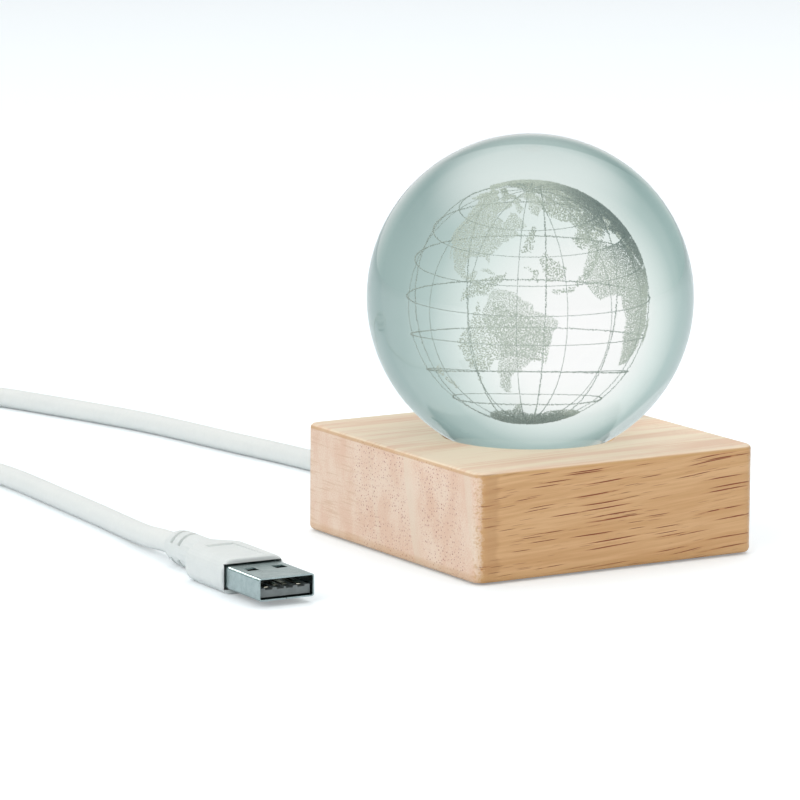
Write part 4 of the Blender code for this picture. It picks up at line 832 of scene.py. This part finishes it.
# the three cuts meet along the arrises, roughly at the upright ones
fray = cloudy(stretched(place, (0.7 * mm, 0.7 * mm, 0.55 * mm)), detail=3.0)
edgeReach = Wire.math("ABSOLUTE", alongX) - half
frayed = eased(edgeReach + (fray - 0.5) * 2.4 * mm, -1.7 * mm, -0.9 * mm) * (1 - topFace)
torn = eased(fray, 0.50, 0.60) * near(edgeReach, -1.6 * mm, -0.5 * mm) * (1 - topFace)
shadedEdge = near(edgeReach + (layers - 0.5) * 4 * mm, -4.2 * mm, -1.5 * mm) * longSide * eased(alongX, 0.0, -half)
colour = blended(shadedEdge * 0.45, longColour, woodSet["edgeShade"])
colour = blended(limited(frayed * 0.75), colour, endColour)
colour = blended(endFace, colour, endColour)
colour = blended(limited(torn * 0.5), colour, woodSet["arris"])
colour = blended(topFace, colour, topColour)
underArris = near(alongZ, topHeight - 0.85 * mm, topHeight - 0.45 * mm)
lowArris = eased(alongZ, 2.6 * mm, 1.6 * mm)
colour = blended(limited(underArris * 0.55 + lowArris * 0.35), colour, woodSet["arris"])
dents = vessels + mouths + fineVessels * 0.5
closeMaterial(wood, {
    "Base Color": colour,
    "Roughness": 0.46 + longTone * 0.10,
    "Normal": relief(fibres * 0.25 + endSpeck * 0.2 - dents, woodSet["dentDepth"]),
})
wear("wooden_base", wood)
for name in ("wooden_base", "bottom_cover", "felt_pad"):  # kept out of what the glass shows
    cadNodes[name].visible_transmission = False
    cadNodes[name].visible_glossy = False
print("wooden base finished")


# finishes of the plug and of the parts inside and underneath
smallFinishes = (  # colour, its shade, grain in mm, roughness, relief in mm, metal, the nodes that wear it
    ("plugWhite", (0.775, 0.805, 0.795), (0.745, 0.78, 0.77), 0.3, 0.40, 0.012, 0, ["plug_overmould"]),
    ("shellSteel", (0.475, 0.56, 0.56), (0.38, 0.46, 0.46), 0.2, 0.26, 0.004, 1, ["plug_shell"]),
    ("tongueGrey", (0.21, 0.235, 0.235), (0.17, 0.19, 0.19), 0.2, 0.5, 0.01, 0, ["plug_tongue"]),
    ("contactGold", (0.95, 0.90, 0.76), (0.88, 0.80, 0.62), 0.15, 0.22, 0.003, 1, numbered("plug_contact", 4)),
    ("frostedDisc", (0.90, 0.90, 0.88), (0.86, 0.865, 0.85), 0.2, 0.45, 0.01, 0, ["light_window"]),
    ("boardWhite", (0.84, 0.85, 0.83), (0.79, 0.81, 0.79), 0.3, 0.45, 0.006, 0, ["led_board"]),
    ("phosphor", (0.90, 0.77, 0.30), (0.86, 0.70, 0.25), 0.1, 0.35, 0.004, 0, numbered("led", 6)),
    ("chipBlack", (0.035, 0.035, 0.035), (0.06, 0.06, 0.06), 0.15, 0.4, 0.004, 0, ["resistor"]),
    ("solder", (0.72, 0.73, 0.75), (0.62, 0.63, 0.65), 0.3, 0.28, 0.01, 1, numbered("solder_joint", 2)),
    ("screwSteel", (0.60, 0.585, 0.55), (0.50, 0.49, 0.46), 0.4, 0.32, 0.006, 1,
     numbered("board_screw", 2) + numbered("cover_screw", 4)),
    ("coverBlack", (0.035, 0.036, 0.037), (0.055, 0.056, 0.058), 0.35, 0.5, 0.03, 0, ["bottom_cover"]),
    ("felt", (0.045, 0.045, 0.052), (0.085, 0.085, 0.095), 0.22, 0.95, 0.12, 0, ["felt_pad"]),
    ("tieNylon", (0.80, 0.80, 0.75), (0.76, 0.76, 0.71), 0.3, 0.42, 0.01, 0, ["cable_tie"]),
)
for name, colour, shade, grain, roughness, bump, metallic, wearers in smallFinishes:
    finish = plainFinish(name, colour, shade, grain * mm, roughness, bump * mm, metallic)
    for nodeName in wearers:
        wear(nodeName, finish)

# a strip light that shows on the shell's folded edge alone
edgeSet = {"size": 0.16, "energy": 0.6}
edgeOffset = Vector((-0.17, 0.84, 0.51)) * 0.6
shellLow, shellHigh = (Vector(corner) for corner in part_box("plug_shell"))
shellMiddle = shellLow.lerp(shellHigh, 0.5)
addLamp("edgeLight", "AREA", shellMiddle + edgeOffset, shellMiddle, edgeSet, mirrored=True, onlyOn="plug_shell")
print("small parts finished")


# strap: a hook-and-loop band round the turns, its rounded end laid over the top
strapSet = {
    "heading": math.radians(330),
    "width": 6.0 * mm,
    "thickness": 0.8 * mm,
    "chamfer": 0.15 * mm,
    "room": cordSet["diameter"] / 2 + cordSet["gap"],
    "corner": cordSet["diameter"] / 2,
    "stationStep": 0.5 * mm,
    "lapStart": 6.0 * mm,
    "lapLength": 15.0 * mm,
    "lapLift": 0.02 * mm,
    "narrowest": 0.5 * mm,
    "cornerSteps": 12,
    "thread": 0.42 * mm,
    "fuzz": 0.16 * mm,
    "relief": 0.06 * mm,
}


def bundleBox():  # the turns' reach where the strap goes round them
    centre = Vector((*cordSet["coilCentre"], 0))
    reach, levels = [], []
    for point in coilLine()[0]:
        offset = point - centre
        turn = math.atan2(offset.y, offset.x) - strapSet["heading"]
        if abs(math.remainder(turn, math.tau)) < math.tau / 24:
            reach.append(offset.xy.length)
            levels.append(point.z)
    return min(reach), max(reach), min(levels), max(levels)


def strapStations():  # even steps along the band's inner face, each with the way out from it
    nearest, farthest, lowest, highest = bundleBox()
    halfAcross = (farthest - nearest) / 2 + strapSet["room"] + cordSet["gap"]
    halfUp = (highest - lowest) / 2 + strapSet["room"]
    middle = Vector(((farthest + nearest) / 2, (highest + lowest) / 2))
    corner, steps, loop = strapSet["corner"], strapSet["cornerSteps"], []
    for index, (sideX, sideY) in enumerate(((1, 1), (-1, 1), (-1, -1), (1, -1))):
        bend = Vector((sideX * (halfAcross - corner), sideY * (halfUp - corner)))
        for step in range(steps + 1):
            angle = (index + step / steps) * math.pi / 2
            out = Vector((math.cos(angle), math.sin(angle)))
            loop.append((middle + bend + out * corner, out))
    even = []
    for (start, out), (end, outNext) in zip(loop, loop[1:] + loop[:1]):
        pieces = max(round((end - start).length / strapSet["stationStep"]), 1)
        shares = [part / pieces for part in range(pieces)]
        even += [(start.lerp(end, share), out.lerp(outNext, share).normalized()) for share in shares]
    return even


def bandMesh(shape, stations, lift, halfWidths, closed):
    thickness, chamfer = strapSet["thickness"], strapSet["chamfer"]
    turn = Matrix.Rotation(strapSet["heading"], 3, "Z")
    centre = Vector((*cordSet["coilCentre"], 0))
    rows = []
    for (point, out), half in zip(stations, halfWidths):
        row = []
        for side, rise in ((-half, chamfer), (-half + chamfer, 0), (half - chamfer, 0), (half, chamfer),
                           (half, thickness - chamfer), (half - chamfer, thickness),
                           (-half + chamfer, thickness), (-half, thickness - chamfer)):
            at = point + out * (lift + rise)
            row.append(shape.verts.new(centre + turn @ Vector((at.x, side, at.y))))
        rows.append(row)
    following = rows[1:] + rows[:1] if closed else rows[1:]
    for row, after in zip(rows, following):
        for index in range(8):
            shape.faces.new((row[index], row[(index + 1) % 8], after[(index + 1) % 8], after[index]))
    if not closed:
        shape.faces.new(rows[0])
        shape.faces.new(rows[-1])


strapWeave = openMaterial("strapWeave")
strapPlace = Wire.add("ShaderNodeMapping", {"vector_type": "POINT"}, {
    "Vector": objectPlace(), "Rotation": (0, 0, -strapSet["heading"])})
strapAlong, strapAcross, strapUp = parts(strapPlace)
thread = math.tau / strapSet["thread"]
weave = (Wire.math("SINE", (strapAlong + strapUp) * thread) * Wire.math("SINE", strapAcross * thread)) * 0.5 + 0.5
fuzz = cloudy(stretched(strapPlace, (strapSet["fuzz"],) * 3), detail=3.0)
closeMaterial(strapWeave, {
    "Base Color": blended(weave * 0.5 + fuzz * 0.5, (0.70, 0.715, 0.70), (0.84, 0.85, 0.84)),
    "Roughness": 0.80 + fuzz * 0.15,
    "Normal": relief(weave * 0.7 + fuzz * 0.6, strapSet["relief"]),
})
stations = strapStations()
halfWidth = strapSet["width"] / 2
strapShape = bmesh.new()
bandMesh(strapShape, stations, 0.0, [halfWidth] * len(stations), True)
firstLap = round(strapSet["lapStart"] / strapSet["stationStep"])
lap = stations[firstLap:firstLap + round(strapSet["lapLength"] / strapSet["stationStep"])]
lapWidths = []
for number in range(len(lap)):
    left = (len(lap) - 1 - number) * strapSet["stationStep"]
    narrowed = halfWidth * math.sqrt(max(1 - (1 - left / halfWidth) ** 2, 0.02)) if left < halfWidth else halfWidth
    lapWidths.append(max(narrowed, strapSet["narrowest"]))
bandMesh(strapShape, lap, strapSet["thickness"] + strapSet["lapLift"], lapWidths, False)
strap = addPiece("coilStrap", toMesh("coilStrap", strapShape), strapWeave, "base", ("coil_tie",))
strap.visible_transmission = False

# wires: out of the cord's end, apart and up to the board's two joints
wireSet = {
    "radius": 0.65 * mm,
    "startAside": 0.95 * mm,
    "endAside": 3.5 * mm,
    "start": 15.8 * mm,
    "turnUp": 8.48 * mm,
    "landing": 5.2 * mm,
    "end": 4.0 * mm,
    "tailStart": 16.1 * mm,
    "tailEnd": 33.0 * mm,
    "stepsEach": 10,
    "grain": 0.2 * mm,
    "roughness": 0.4,
    "relief": 0.005 * mm,
}
tail = curvePiece("cordTail", [Vector((0, wireSet[key], cordSet["exit"][2])) for key in ("tailStart", "tailEnd")],
                  cordSet["diameter"] / 2, cordWhite)
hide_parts("cord_tail")
level = cordSet["exit"][2]
for name, nodeName, side, colour, shade in (
        ("wireRed", "wire_red", -1, (0.62, 0.035, 0.03), (0.54, 0.03, 0.025)),
        ("wireBlack", "wire_black", 1, (0.03, 0.03, 0.03), (0.05, 0.05, 0.05))):
    surface = plainFinish(name, colour, shade, wireSet["grain"], wireSet["roughness"], wireSet["relief"])
    startX, endX = side * wireSet["startAside"], side * wireSet["endAside"]
    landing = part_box(nodeName)[1][2] - wireSet["radius"]
    route = ((startX, wireSet["start"], level), (startX, wireSet["start"] - wireSet["radius"], level),
             (endX, wireSet["turnUp"], level), (endX, wireSet["landing"], landing),
             (endX, wireSet["end"], landing))
    wire = curvePiece(name, smoothLine(route, wireSet["stepsEach"]), wireSet["radius"], surface)
    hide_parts(nodeName)

print("strap and wires made")
